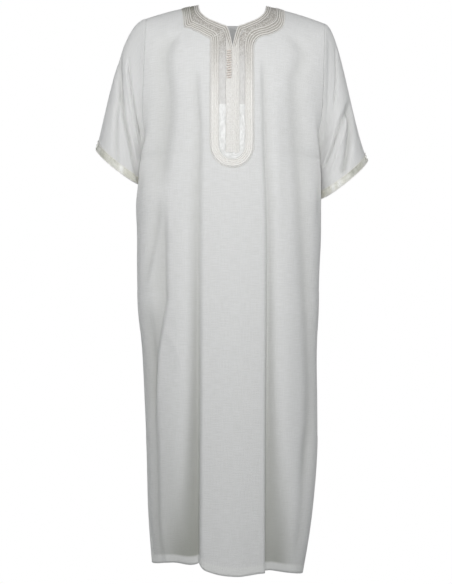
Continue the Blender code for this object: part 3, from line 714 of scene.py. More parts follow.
def makeRibbonFinish():
    # a satin ribbon set with small flecks near the neck and plain lower down; at the bottom of the bib a
    # painted highlight with painted shade in its creases, and a painted shade at the wearer's right end of
    # the collar
    looks = ribbonLooks
    finish, tree, shader = newFinish("fleckedSatin", looks["roughness"][0])
    place = clothPlace(tree)
    voronoi = addNode(tree, "TexVoronoi", {"Vector": place, "Scale": looks["flecksPerMetre"]})
    flecks = voronoi.outputs["Distance"]
    crush = addNode(tree, "Group", {"Place": place, "Creases per metre": looks["creasesPerMetre"]},
                    node_tree=crushGroup).outputs
    # the flecks, the painted highlight low on the bib, and the painted shade at the wearer's right shoulder
    near, low, shade = (markOn(tree, name) for name in ("flecked", "bright", "shaded"))
    flecked = blendColour(tree, ramp(tree, flecks, looks["fleckRange"]), looks["dark"], looks["fleck"])
    creased = blendColour(tree, ramp(tree, crush["Creases"], looks["creaseRange"]), looks["crease"],
                          looks["bright"])
    whole = blendColour(tree, low, blendColour(tree, near, looks["plain"], flecked), creased)
    dull, shine = looks["roughness"]
    rough = mathNode(tree, "SUBTRACT", dull, mathNode(tree, "MULTIPLY", low, shine))
    fillSocket(tree, shader.inputs["Roughness"], rough)
    height = mathNode(tree, "MULTIPLY", flecks, mathNode(tree, "MULTIPLY", near, looks["fleckRelief"]))
    paint(tree, shader, blendColour(tree, shade, whole, looks["shaded"]),
          mathNode(tree, "ADD", height, crush["Height"]), looks["relief"])
    return finish


# each thread: light and dark where the trim is cream, then light and dark near the neck
threadLooks = {
    "shadedCord": (0.46, 0.45, 0.40),
    "shadedBraid": (0.27, 0.265, 0.22),
    "cord": ((0.93, 0.92, 0.895), (0.84, 0.82, 0.785), (0.87, 0.85, 0.82), (0.72, 0.70, 0.66)),
    "braid": ((0.86, 0.845, 0.815), (0.74, 0.72, 0.68), (0.53, 0.505, 0.465), (0.38, 0.36, 0.325)),
    "strip": ((0.86, 0.85, 0.825), (0.74, 0.72, 0.69), (0.79, 0.775, 0.745), (0.65, 0.63, 0.595)),
    "knots": ((0.81, 0.75, 0.70), (0.66, 0.59, 0.535), (0.81, 0.75, 0.70), (0.66, 0.59, 0.535)),
    "sewing": ((0.84, 0.84, 0.81), (0.74, 0.73, 0.69), (0.84, 0.84, 0.81), (0.74, 0.73, 0.69)),
    "streaks": (900.0, 160.0),
    "streakRange": (0.35, 0.65),
    "cordRoughness": 0.45,
    "roughness": 0.6,
    "sheen": 0.1,
    "relief": 0.0003,
}


def makeThreadFinish(name, kind, roughness, shaded=None):
    # thread: fine streaks along it in two close colours, which turn darker towards the neck
    finish, tree, shader = newFinish(name, threadLooks[roughness], threadLooks["sheen"])
    colours = threadLooks[kind]
    streaks = stretchedNoise(tree, clothPlace(tree), threadLooks["streaks"], 3.0)
    streak = ramp(tree, streaks, threadLooks["streakRange"])
    cream = blendColour(tree, streak, colours[1], colours[0])
    nearNeck = blendColour(tree, streak, colours[3], colours[2])
    whole = blendColour(tree, markOn(tree, "cream"), nearNeck, cream)
    if shaded:
        whole = blendColour(tree, markOn(tree, "shaded"), whole, threadLooks[shaded])
    paint(tree, shader, whole, streaks, threadLooks["relief"])
    return finish


cuffLooks = {
    # the first colour is a painted highlight, the last a grey for painted shade that the fine ribs also take
    "bright": (0.90, 0.90, 0.87),
    "light": (0.76, 0.755, 0.70),
    "beige": (0.73, 0.72, 0.64),
    "grey": (0.335, 0.345, 0.290),
    "clouds": (30.0, 14.0),
    "cloudRange": (0.46, 0.66),
    "ribs": (800.0, 400.0),
    "ribRange": (0.52, 0.36),
    "ribShare": 0.35,
    "creasesPerMetre": 110.0,
    "roughness": 0.38,
    "relief": 0.0007,
}


def makeCuffFinish():
    # satin in cloudy patches of light and shade, with painted highlights and patches of painted shade, fine
    # cross ribs and short puckers
    looks = cuffLooks
    finish, tree, shader = newFinish("cuffSatin", looks["roughness"])
    place = clothPlace(tree)
    crush = addNode(tree, "Group", {"Place": place, "Creases per metre": looks["creasesPerMetre"]},
                    node_tree=crushGroup).outputs
    clouds = ramp(tree, stretchedNoise(tree, place, looks["clouds"], 3.0), looks["cloudRange"])
    ribs = ramp(tree, stretchedNoise(tree, place, looks["ribs"], 2.0), looks["ribRange"])
    # painted shade in set patches, then cloudy patches, then painted highlights
    toned = blendColour(tree, markOn(tree, "tone"), looks["beige"], looks["grey"])
    patchy = blendColour(tree, clouds, toned, looks["light"])
    lit = blendColour(tree, markOn(tree, "bright"), patchy, looks["bright"])
    fine = blendColour(tree, mathNode(tree, "MULTIPLY", ribs, looks["ribShare"]), lit, looks["grey"])
    paint(tree, shader, fine, crush["Height"], looks["relief"])
    return finish


ivoryCloth = makeClothFinish()
fleckedSatin = makeRibbonFinish()
creamCord = makeThreadFinish("creamCord", "cord", "cordRoughness", "shadedCord")
braidGround = makeThreadFinish("ribbedBraid", "braid", "roughness", "shadedBraid")
stripThread = makeThreadFinish("ribbedStrip", "strip", "roughness")
knotThread = makeThreadFinish("pinkBeigeThread", "knots", "roughness")
sewingThread = makeThreadFinish("sewingThread", "sewing", "roughness")
cuffSatin = makeCuffFinish()
print("finishes made")


# The two panels of cloth, with the neck hole cut out and the hems turned
panelCut = {
    "frontGrid": (236, 176),
    "backGrid": (214, 140),
    "crowding": {front: ((-0.25, 0.08, 2.4), (0.30, 0.08, 2.4)), back: ((0.0, 0.9, 0.2),)},
    "hemDepth": 0.020,
    "turnedEdge": 0.055,
    "hemRise": 0.0005,
    "flat": {front: (0.66, 1.373), back: (0.62, 1.373)},
    "holeSamples": 700,
    "columnSamples": 2000,
    "frontStations": 30,
    "halfWidth": 0.22,
    "hemFade": 0.002,
    "edgeFade": 0.004,
    "edgeStart": 0.01,
    # a trough this deep gets its full painted shade
    "troughShadeDepth": 0.045,
}

# the neck hole on one half of a panel, as (distance from the middle, way down) in millimetres
neckEdgeFront = inMetres(((81.5, 0), (81, 38), (77, 73), (60, 103), (30, 123.5), (13.5, 132), (6.6, 150),
                          (0, 177)))
neckBack = {"halfWidth": 0.0815, "drop": 0.094, "roundness": 2.5, "samples": 200}


def smoothStations(stations, perStation):
    # a smooth line through the stations, with the same number of points between each two
    stations = np.array(stations)
    where = np.linspace(0, len(stations) - 1, (len(stations) - 1) * perStation + 1)
    steps = np.arange(len(stations))
    return np.column_stack([readCurve(steps, stations[:, 0], where), readCurve(steps, stations[:, 1], where)])


def backNeckLine(widen):
    # an oval with blunt shoulders, from the shoulder to the middle of the back
    turn = np.linspace(0.0, math.pi / 2, neckBack["samples"])
    power = 2.0 / neckBack["roundness"]
    across = (neckBack["halfWidth"] + widen) * np.cos(turn) ** power
    return np.column_stack([across, (neckBack["drop"] + widen) * np.sin(turn) ** power])


def bothHalves(halfLine):
    # the half line from the wearer's right shoulder to the middle, and on to the left shoulder
    return np.vstack([halfLine * (-1.0, 1.0), halfLine[-2::-1]])


def crowdedColumns(face, count):
    # columns from -1 to 1, closer together beside the sharp folds
    across = np.linspace(-1.0, 1.0, panelCut["columnSamples"])
    density = np.ones_like(across)
    for place, width, gain in panelCut["crowding"][face]:
        density += gain * bell(across - place, width)
    share = np.cumsum(density)
    share = (share - share[0]) / (share[-1] - share[0])
    return np.interp(np.linspace(0.0, 1.0, count), share, across)


def makePanel(face, name, stands, gridSize):
    rows, columns = gridSize
    across = np.broadcast_to(crowdedColumns(face, columns), (rows, columns)).copy()
    length = panelLength(face, across[0])
    down = np.linspace(0.0, 1.0, rows)[:, None] * length
    frontEdge = smoothStations(neckEdgeFront, panelCut["frontStations"])
    hole = bothHalves(frontEdge if face == front else backNeckLine(0.0))
    hole = readLine(hole, np.arange(len(hole)), np.linspace(0, len(hole) - 1, panelCut["holeSamples"]))
    hole[:, 0] = acrossOf(hole[:, 0], hole[:, 1])

    # quads whose middle lies in the hole are left out, and the points on its rim move onto its line
    middleAcross = (across[:-1, :-1] + across[1:, 1:]) / 2
    middleDown = (down[:-1, :-1] + down[1:, 1:]) / 2
    rim = np.interp(middleAcross, hole[:, 0], hole[:, 1], left=-1.0, right=-1.0)
    keep = middleDown > rim
    corner = np.zeros((2, rows, columns), dtype=bool)
    for kind, chosen in enumerate((keep, ~keep)):
        for i, j in ((0, 0), (0, 1), (1, 0), (1, 1)):
            corner[kind, i:rows - 1 + i, j:columns - 1 + j] |= chosen
    onRim = corner[0] & corner[1]
    spots = np.column_stack([across[onRim], down[onRim]])
    gaps = np.linalg.norm((spots[:, None] - hole[None]) * (panelCut["halfWidth"], 1.0), axis=-1)
    nearest = hole[gaps.argmin(axis=1)]
    across[onRim], down[onRim] = nearest.T

    lift = foldLift(face, across, panelBase(face, across, down))
    hemMark = smoothStep((down - (length - panelCut["hemDepth"])) / panelCut["hemFade"])
    ventTop, pocketTop, pocketBottom = bodyForm["vent"][0], *bodyForm["pocket"][:2]
    edge = smoothStep((np.abs(across) - (1.0 - panelCut["turnedEdge"])) / panelCut["edgeFade"])
    edge = edge * np.where(down > ventTop - panelCut["edgeStart"], 1.0,
                           (down > pocketTop) & (down < pocketBottom))
    doubled = np.maximum(hemMark, edge)
    grid = panelPoints(face, across, down)
    grid += outwardAt(panelPoints, face, across, down) * (panelCut["hemRise"] * doubled)[..., None]
    width = lengthsAlong(grid.swapaxes(0, 1)).T
    width = width - width[:, columns // 2][:, None]
    uv = np.stack([width, -down], axis=-1)
    # the deeper a fold sinks the cloth, the more painted shade its trough gets
    surface = {"grid": grid, "uv": uv, "keep": keep, "flip": face == front,
               "marks": {"trough": np.clip(-lift / panelCut["troughShadeDepth"], 0.0, 1.0), "doubled": doubled}}
    panel = addPiece(name, [surface], ivoryCloth, stands, bodyForm["wall"])
    return panel


makePanel(front, "frontPanel", ["front_panel"], panelCut["frontGrid"])
makePanel(back, "backPanel", ["back_panel"], panelCut["backGrid"])
print("front and back panels made")


# Each sleeve is a tube from the armhole to its lower edge, read by "around", 0 at the top seam,
# rising over the front to 0.5 under the arm, and "along", 0 at the armhole and 1 at the cuff.
sleeveCut = {
    "grid": (120, 168),
    "leaveFall": -0.06,
    "leaveSpread": 0.30,
    "underLeave": (0.35, -0.95),
    "underFlare": (0.10, -1.00),
    "reach": 0.072,
    "droop": (0.013, -0.004),  # at the front and at the back
    "droopOut": 0.0042,
    "gap": 0.0011,
    "gapFall": -0.15,
    "cuffBand": 0.020,
    "unrolled": (0.50, 0.30),
    "foldStart": 0.08,
    "slopeStep": 0.003,
    "foldShade": (0.25, 0.010, 1.5),
    "underarmShade": (0.46, 0.11, 0.45, 0.22),
    "flat": (0.78, 0.36),
    "area": 0.098,
}
sleeveForms = {
    right: {"top": (0.3300, -0.305), "under": (0.2200, -0.393), "launch": 0.54, "flare": (0.25, 0.955)},
    left: {"top": (0.3280, -0.331), "under": (0.2110, -0.427), "launch": 0.32, "flare": (0.33, 0.720)},
}

# folds in the sleeves: width, depth, and the line they follow as (around, along)
sleeveFolds = {
    right: [
        (0.014, -0.0098, ((0.052, 0.444), (0.143, 0.481), (0.190, 0.506), (0.245, 0.544), (0.320, 0.575),
         (0.383, 0.706), (0.430, 0.900))),
        (0.010, 0.0030, ((0.160, 0.350), (0.242, 0.369), (0.295, 0.369), (0.383, 0.319))),
        (0.010, -0.0065, ((0.177, 0.537), (0.180, 0.631), (0.198, 0.700), (0.220, 0.800), (0.253, 0.906))),
        (0.008, -0.0055, ((0.168, 0.306), (0.205, 0.306), (0.260, 0.294), (0.315, 0.244), (0.395, 0.156))),
        (0.015, -0.0070, ((0.93, 0.36), (0.87, 0.47), (0.82, 0.60), (0.77, 0.78), (0.74, 1.02))),
        (0.012, -0.0045, ((0.76, 0.52), (0.69, 0.55), (0.59, 0.74))),
        (0.010, -0.0040, ((0.79, 0.28), (0.72, 0.26), (0.62, 0.12))),
        (0.012, -0.0045, ((0.94, 0.52), (0.90, 0.70), (0.85, 1.02))),
    ],
    left: [
        (0.010, -0.0045, ((0.115, 0.275), (0.158, 0.306), (0.198, 0.325), (0.238, 0.331))),
        (0.010, -0.0088, ((0.135, 0.606), (0.185, 0.588), (0.230, 0.562), (0.288, 0.537), (0.390, 0.544))),
        (0.009, 0.0030, ((0.168, 0.638), (0.217, 0.663), (0.278, 0.688), (0.335, 0.750))),
        (0.0145, -0.0135, ((0.105, 0.650), (0.138, 0.681), (0.165, 0.738), (0.200, 0.781), (0.253, 0.863))),
        (0.016, -0.0015, ((0.165, 0.100), (0.275, 0.119), (0.378, 0.169))),
        (0.012, -0.0045, ((0.87, 0.26), (0.80, 0.28), (0.71, 0.32))),
        (0.011, -0.0060, ((0.79, 0.57), (0.70, 0.54), (0.60, 0.54))),
        (0.014, -0.0075, ((0.89, 0.56), (0.82, 0.70), (0.76, 0.80), (0.71, 1.02))),
    ],
}


def armholePoint(hand, around):
    # down the front panel's edge, then up the back panel's, both moved to the middle of the seam
    onFront = around < 0.5
    down = bodyForm["underarm"] * np.where(onFront, 2.0 * around, 2.0 - 2.0 * around)
    across = np.full_like(down, float(hand))
    seam = np.array([0.0, bodyForm["seamGap"] / 2, 0.0])
    return np.where(onFront[..., None], panelBase(front, across, down) + seam,
                    panelBase(back, across, down) - seam)


def sleeveBase(hand, around, along):
    # A cubic from the armhole to a slanted oval at the cuff. It leaves the armhole one way and
    # meets the oval another, and both ways change evenly from the top of the arm to under it.
    form = sleeveForms[hand]
    around = np.mod(around, 1.0)
    start = armholePoint(hand, around)
    turn = 2 * math.pi * around
    topX, topZ = form["top"]
    underX, underZ = form["under"]
    droop = np.abs(np.sin(turn))
    endX = (topX + underX) / 2 + (topX - underX) / 2 * np.cos(turn) + sleeveCut["droopOut"] * droop
    fall = np.where(around < 0.5, *sleeveCut["droop"]) * droop
    endZ = (topZ + underZ) / 2 + (topZ - underZ) / 2 * np.cos(turn) - fall
    end = np.stack([hand * endX, -sleeveCut["reach"] * np.sin(turn), endZ], axis=-1)
    length = np.linalg.norm(end - start, axis=-1, keepdims=True)
    under = ((1.0 - np.cos(turn)) / 2)[..., None]
    leave = np.array([hand * form["launch"], 0.0, sleeveCut["leaveFall"]]) * (1.0 - under)
    leave = leave + np.array([hand * sleeveCut["underLeave"][0], 0.0, sleeveCut["underLeave"][1]]) * under
    leave[..., 1] += sleeveCut["leaveSpread"] * np.sin(turn)
    arrive = np.array([hand * form["flare"][0], 0.0, -form["flare"][1]]) * (1.0 - under)
    arrive = arrive + np.array([hand * sleeveCut["underFlare"][0], 0.0, sleeveCut["underFlare"][1]]) * under
    start = start + sleeveCut["gap"] * (1.0 + under) * np.array([hand, 0.0, sleeveCut["gapFall"]])
    part = along[..., None]
    rise = smoothStep(part)
    point = start * (1.0 - rise) + end * rise
    point += leave * length * part * (1.0 - part) ** 2
    return point + arrive * length * part * part * (part - 1.0), length[..., 0]


def sleeveLift(hand, around, along):
    # a bell across each fold's line, measured in metres on the flat cloth of the sleeve
    wide, long = sleeveCut["unrolled"]
    total = np.zeros_like(along)
    around = np.mod(around, 1.0)
    for width, depth, line in sleeveFolds[hand]:
        line = [(place * wide, down * long) for place, down in line]
        total += depth * bell(distanceToLine(around * wide, along * long, line), width)
    return total * smoothStep(along / sleeveCut["foldStart"])


def sleeveOutward(hand, around, along):
    # the way out of a sleeve, square to its slopes around and along
    step = sleeveCut["slopeStep"]
    aroundWay = sleeveBase(hand, around + step, along)[0] - sleeveBase(hand, around - step, along)[0]
    lower = sleeveBase(hand, around, np.clip(along + step, 0.0, 1.0))[0]
    higher = sleeveBase(hand, around, np.clip(along - step, 0.0, 1.0))[0]
    return unit(hand * np.cross(aroundWay, lower - higher))


def sleevePoints(hand, around, along, height=0.0):
    # points at a height over the folded sleeve, and the way out of the cloth there
    outward = sleeveOutward(hand, around, along)
    lift = sleeveLift(hand, around, along) + height
    return sleeveBase(hand, around, along)[0] + outward * lift[..., None], outward


def tubePlaces(grid):
    # places on the cloth in metres: round the tube, with the first point again at the end
    grid = np.concatenate([grid, grid[:, :1]], axis=1)
    return np.stack([lengthsAlong(grid.swapaxes(0, 1)).T, -lengthsAlong(grid)], axis=-1)


def onCuff(hand, around, share, height):
    # points over the band at a sleeve's end, at a share of the way from its upper edge to its lower
    start = 1.0 - sleeveCut["cuffBand"] / sleeveBase(hand, around, np.zeros_like(around))[1]
    return sleevePoints(hand, around, start + (1.0 - start) * share, height)


def makeSleeve(hand):
    rows, columns = sleeveCut["grid"]
    around = np.broadcast_to(np.arange(columns) / columns, (rows, columns))
    along = np.broadcast_to(np.linspace(0.0, 1.0, rows)[:, None], (rows, columns))
    grid, outward = sleevePoints(hand, around, along)
    # painted shade, in the troughs of the sleeve folds and under the arm
    share, depth, power = sleeveCut["foldShade"]
    trough = share * np.clip(-sleeveLift(hand, around, along) / depth, 0.0, 1.0) ** power
    place, spread, fade, share = sleeveCut["underarmShade"]
    trough = trough + share * bell(around - place, spread) * bell(along, fade)
    surface = {"grid": grid, "uv": tubePlaces(grid), "closed": True, "flip": hand == right,
               "marks": {"trough": trough}}
    name = sideNames[hand]
    sleeve = addPiece(f"{name}Sleeve", [surface], ivoryCloth, [f"sleeve_{name}"],
                      bodyForm["wall"])


for hand in (right, left):
    makeSleeve(hand)
print("sleeves made")


# Satin bands round the sleeve ends, puckered between two rows of stitching, with a cord at each edge
cuffTrim = {
    "columns": 420,
    "rows": 12,
    "height": 0.0016,
    "crown": 0.0007,
    "pucker": 0.0005,
    "puckerStretch": 2.2,
    "puckerWaves": (16, 0.008, 0.030),
    "puckerSeed": 31,
    "cord": (0.0009, 0.0008),
    "cordSteps": 500,
    "cordPitch": 0.0024,
    "cordShares": (0.03, 0.97),
    "cordRise": 0.0004,
    "cordCream": 0.6,
    # patches of painted highlight (place round the band, width) and of painted shade (distance from the top,
    # width, share)
    "paintedHighlightPatches": {right: ((0.285, 0.015),), left: ((0.294, 0.014), (0.335, 0.014))},
    "paintedShadePatches": {right: ((0.040, 0.095, 1.3), (0.235, 0.026, 0.50)),
                    left: ((0.205, 0.042, 0.85), (0.090, 0.055, 0.40))},
    "wall": 0.0008,
    "flat": (0.50, 0.020),
}


def wander(seed, places, waves, lowest, highest):
    # A gently uneven curve: the sum of some waves, with lengths between two limits, in any direction
    # over the places given.
    chance = np.random.default_rng(seed)
    places = [np.asarray(place, dtype=float) for place in places]
    total = np.zeros(np.broadcast(*places).shape)
    for number in range(waves):
        spread = 2 * math.pi / np.exp(chance.uniform(math.log(lowest), math.log(highest)))
        lean = chance.uniform(0.0, 2 * math.pi)
        ways = (math.cos(lean), math.sin(lean)) if len(places) == 2 else (1.0,)
        phase = sum(way * place for way, place in zip(ways, places)) * spread
        total = total + np.sin(phase + chance.uniform(0.0, 2 * math.pi))
    return total / math.sqrt(waves)


def layCord(points, outward, radii, pitch, sides=8, strands=0.30, taper=None):
    # A cord along a line: rings of an oval whose size swells twice in each turn, like two strands
    # twisted together. The swelling turns by half a circle for every pitch along the line.
    length = lengthsAlong(points)
    along = unit(np.gradient(points, axis=0))
    side = unit(np.cross(outward, along))
    up = np.cross(along, side)
    turn = 2 * math.pi * np.arange(sides) / sides
    twist = math.pi * length / pitch
    swell = 1.0 - strands + strands * np.abs(np.cos(turn[None] - twist[:, None]))
    if taper is not None:
        swell = swell * taper(length / length[-1])[:, None]
    ring = side[:, None] * (radii[0] * swell * np.cos(turn))[..., None]
    ring = ring + up[:, None] * (radii[1] * swell * np.sin(turn))[..., None]
    uv = np.stack(np.broadcast_arrays(np.linspace(0.0, 2 * math.pi * radii[0], sides + 1)[None],
                                      -length[:, None]), axis=-1)
    return {"grid": points[:, None] + ring, "uv": uv, "closed": True, "capped": True}


def makeCuff(hand):
    columns, rows = cuffTrim["columns"], cuffTrim["rows"]
    around = np.broadcast_to(np.arange(columns) / columns, (rows, columns))
    share = np.linspace(0.0, 1.0, rows)[:, None]
    length, width = cuffTrim["flat"]
    spots = (around * length * cuffTrim["puckerStretch"], share * width)
    pucker = cuffTrim["pucker"] * wander(cuffTrim["puckerSeed"] + hand, spots, *cuffTrim["puckerWaves"])
    height = cuffTrim["height"] + np.sin(math.pi * share) * (cuffTrim["crown"] + pucker)
    grid, outward = onCuff(hand, around, share, height)
    # painted highlights and painted shade in set patches round the band
    bright = sum(bell(around - place, width) for place, width in cuffTrim["paintedHighlightPatches"][hand])
    fromTop = np.minimum(around, 1.0 - around)
    tone = sum(share * bell(fromTop - place, width) for place, width, share in cuffTrim["paintedShadePatches"][hand])
    surfaces = [{"grid": grid, "uv": tubePlaces(grid), "closed": True, "flip": hand == right,
                 "marks": {"bright": np.clip(bright, 0.0, 1.0), "tone": tone}}]
    name = sideNames[hand]
    band = addPiece(f"{name}CuffBand", surfaces, cuffSatin, [f"cuff_band_{name}"],
                    cuffTrim["wall"])
    cords = []
    for share in cuffTrim["cordShares"]:
        height = cuffTrim["height"] + cuffTrim["cordRise"]
        points, outward = onCuff(hand, np.linspace(0.0, 1.0, cuffTrim["cordSteps"]), share, height)
        cord = layCord(points, outward, cuffTrim["cord"], cuffTrim["cordPitch"], sides=6)
        cords.append({**cord, "marks": {"cream": cuffTrim["cordCream"]}})
    addPiece(f"{name}CuffCords", cords, creamCord)


for hand in (right, left):
    makeCuff(hand)
print("cuff bands made")


# The neck trim: lines on each half of the front, as (distance from the middle, way down) in
# millimetres. Each braid and ribbon has an inner and an outer line with matching stations.
neckEdgeLine = (*neckEdgeFront[:-1], *inMetres(((0.6, 177), (0.3, 185))))
neckBraidLine = inMetres(((93, 0), (92.5, 41), (87.5, 81), (68, 114), (36.5, 136), (23.5, 143), (17.5, 158),
                          (10, 178), (8.5, 186)))
trimLines = inMetres({
    right: {
        "bandEdge": ((120.5, 0), (118, 49), (114.9, 92), (112.5, 120), (100.5, 126.1), (91, 133.5),
                     (79, 140.7), (64.8, 151.3), (53, 158.4), (50.6, 165.6), (50.3, 179)),
        "bandBraid": ((103.5, 0), (101.8, 45), (98.8, 83), (94.5, 106.5), (90, 111.5), (82, 118),
                      (71.5, 124.5), (56, 136), (41, 145.5), (34.5, 156), (32.3, 174)),
        "collar": (((92.5, 0), (104.5, 0)), ((92, 41), (102.8, 45)), ((87, 81), (99.5, 83)),
                   ((79, 98.5), (94.5, 108)), ((67.5, 113.8), (82, 119)), ((52, 125.5), (65, 130.5)),
                   ((36.5, 135.5), (48, 142.5)), ((26.5, 141.5), (38.5, 150)),
                   ((20.8, 147.8), (35.2, 154.2))),
        "bibTop": (((20.8, 147.4), (35.5, 153.8)), ((19, 154.5), (33, 166)), ((16.5, 164), (32.8, 176))),
        "mitre": ((19.5, 147.5), (44, 158)),
        "half": 50.3,
        "braidHalf": 32.3,
    },
    left: {
        "bandEdge": ((120.5, 0), (122.8, 50), (123, 78), (120, 105.4), (112.5, 123.7), (101, 135),
                     (86, 144.4), (69.4, 150.7), (59, 157.5), (51.5, 167), (47.5, 179)),
        "bandBraid": ((104, 0), (106.2, 46), (106.2, 72), (103.5, 93.5), (98.5, 105), (89, 115.5), (77, 125),
                      (60, 133), (45.5, 140.5), (35.5, 152), (29.6, 170)),
        "collar": (((92.5, 0), (105, 0)), ((92.5, 41), (106.8, 46)), ((89, 76), (106.2, 78)),
                   ((83, 94.5), (101, 101)), ((70, 112), (89, 116.5)), ((54, 124.5), (69, 129.5)),
                   ((38, 135), (52, 137.5)), ((29, 139.5), (42, 146)), ((24.5, 145.5), (36.2, 150))),
        "bibTop": (((24, 145.2), (36.5, 149.6)), ((20, 154), (31.5, 164)), ((16.5, 164), (30.2, 176))),
        "mitre": ((24, 145.5), (50, 154)),
        "half": 47.2,
        "braidHalf": 29.5,
    },
})
trimForm = {
    "rowStep": 0.0011,
    "perStation": 60,
    "arcStart": 0.384,
    "edgeDrop": 0.0497,
    "braidDrop": 0.0330,
    "stripHalf": 0.0155,
    "stripEnd": 0.402,
    "stripCorner": ((1.0, -0.0085), (0.96, -0.0005), (0.55, 0.0002), (0.0, 0.0002)),
    "legDowns": (0.200, 0.245, 0.290, 0.335, 0.384),
    "neckBraidWidth": 0.0115,
    "bandBraidWidth": 0.0165,
    "bandReach": 0.0390,
    "under": 0.0006,
    # where the painted highlight on the bib ribbon begins, and how quickly it comes in
    "paintedHighlightFrom": (0.295, 0.0025),
    "fleckedTo": (0.145, 0.230, 0.92),
    "shadedTo": (0.085, 1.20),
    "creamFrom": (0.150, 0.300),
}


def bibLine(upper, half, drop):
    # down from the upper stations, straight along the leg, then a quarter of an oval
    turn = np.linspace(0.0, math.pi / 2, 5)[1:]
    leg = [(half, down) for down in trimForm["legDowns"]]
    return list(upper) + leg + list(zip(half * np.cos(turn), trimForm["arcStart"] + drop * np.sin(turn)))


def evenRows(inner, outer):
    # both lines with their points at even lengths along the line midway between them
    length = lengthsAlong((inner + outer) / 2)
    places = np.linspace(0.0, length[-1], int(length[-1] / trimForm["rowStep"]) + 2)
    return readLine(inner, length, places), readLine(outer, length, places)


def throughStations(inner, outer):
    count = trimForm["perStation"]
    return evenRows(smoothStations(inner, count), smoothStations(outer, count))


def backBand(inside, outside):
    # two lines round the back of the neck, at distances outside its edge
    return evenRows(bothHalves(backNeckLine(inside)), bothHalves(backNeckLine(outside)))


def layStrip(face, inner, outer, columns, height, marks):
    # A strip on a panel between two lines. Its top stands at height(along, share) over the cloth,
    # where share goes from 0 at the inner line to 1 at the outer, and its underside is plain.
    share = np.linspace(0.0, 1.0, columns)
    flat = inner[:, None] + (outer - inner)[:, None] * share[None, :, None]
    middle = flat[:, columns // 2]
    along = lengthsAlong(middle)
    top, outward = overPanel(face, flat[..., 0], flat[..., 1], height(along[:, None], share[None]))
    under = overPanel(face, flat[:, ::1 - columns, 0], flat[:, ::1 - columns, 1], trimForm["under"])[0]
    normal = np.cross(top[:-1, 1:] - top[:-1, :-1], top[1:, :-1] - top[:-1, :-1])
    width = np.linalg.norm(outer - inner, axis=-1)[:, None]
    across = np.concatenate([share[None] * width, np.broadcast_to(width, (len(along), 3))], axis=1)
    uv = np.stack(np.broadcast_arrays(across, -along[:, None]), axis=-1)
    surface = {"grid": np.concatenate([top, under], axis=1), "uv": uv, "closed": True, "capped": True,
               "flip": bool((normal * outward[:-1, :-1]).sum() < 0.0)}
    places = np.concatenate([flat, flat[:, ::1 - columns]], axis=1)
    surface["marks"] = {mark: read(places) for mark, read in marks.items()}
    return surface


def cordOver(face, line, height, radii, pitch, marks, sides=8):
    # a cord along a line of (x, down) on a panel
    points, outward = overPanel(face, line[:, 0], line[:, 1], height)
    cord = layCord(points, outward, radii, pitch, sides)
    marks = {mark: read(line)[:, None] for mark, read in marks.items()}
    return {**cord, "marks": marks, "finish": creamCord}


def creamMark(places):
    low, high = trimForm["creamFrom"]
    return smoothStep((places[..., 1] - low) / (high - low))


# painted highlight: the bib ribbon is lit below a place down the bib
def paintedHighlightMark(places):
    start, fade = trimForm["paintedHighlightFrom"]
    return smoothStep((places[..., 1] - start) / fade)


def fleckMark(places):
    # the flecks fade out towards the middle of the bib
    begin, end, share = trimForm["fleckedTo"]
    return 1.0 - share * smoothStep((places[..., 1] - begin) / (end - begin))


def shadeMark(places):
    # the wearer's right end of the collar is darker at the shoulder
    end, start = trimForm["shadedTo"]
    return smoothStep(start - places[..., 1] / end) * (places[..., 0] < 0.0)


ribbonTrim = {
    "columns": 16,
    "edge": 0.0010,
    "crown": 0.0010,
    "bluntness": 0.6,
    "pucker": 0.00045,
    "bibPucker": 0.0005,
    "puckerWaves": (14, 0.006, 0.020),
    "collarSeed": 50,
    "backSeed": 53,
    "bibSeed": 57,
    "width": 0.02,
    "collarFlat": (0.190, 0.043),
    "collarArea": 0.0025,
    "backFlat": (0.340, 0.039),
    "backArea": 0.0040,
    "bibFlat": (0.58, 0.019),
}


def ribbonHeight(seed, pucker):
    # a low crown with short uneven puckers, both nothing at the ribbon's edges
    def height(along, share):
        uneven = wander(seed, (along, share * ribbonTrim["width"]), *ribbonTrim["puckerWaves"])
        rise = np.sin(math.pi * share) ** ribbonTrim["bluntness"]
        return ribbonTrim["edge"] + rise * (ribbonTrim["crown"] + pucker * uneven)
    return height


def onSide(hand, *lines):
    return [line * (hand, 1.0) for line in lines]


def wholeRound(halves):
    # the wearer's right half from the shoulder to the middle, and the left half back up
    lines = []
    for first, second in zip(halves[right], halves[left]):
        lines.append(np.vstack([first * (-1.0, 1.0), second[-2::-1]]))
    return lines


def makeCollarRibbons():
    columns, pucker = ribbonTrim["columns"], ribbonTrim["pucker"]
    for hand, name in sideNames.items():
        lines = onSide(hand, *throughStations(*zip(*trimLines[hand]["collar"])))
        strip = layStrip(front, *lines, columns, ribbonHeight(ribbonTrim["collarSeed"] + hand, pucker),
                         {"flecked": fleckMark, "shaded": shadeMark})
        ribbon = addPiece(f"{name}CollarRibbon", [strip], fleckedSatin, [f"neck_band_{name}"])
    lines = backBand(trimForm["neckBraidWidth"], trimForm["bandReach"] - trimForm["bandBraidWidth"])
    strip = layStrip(back, *lines, columns, ribbonHeight(ribbonTrim["backSeed"], pucker),
                     {"flecked": fleckMark})
    ribbon = addPiece("backCollarRibbon", [strip], fleckedSatin, ["neck_band_back"])


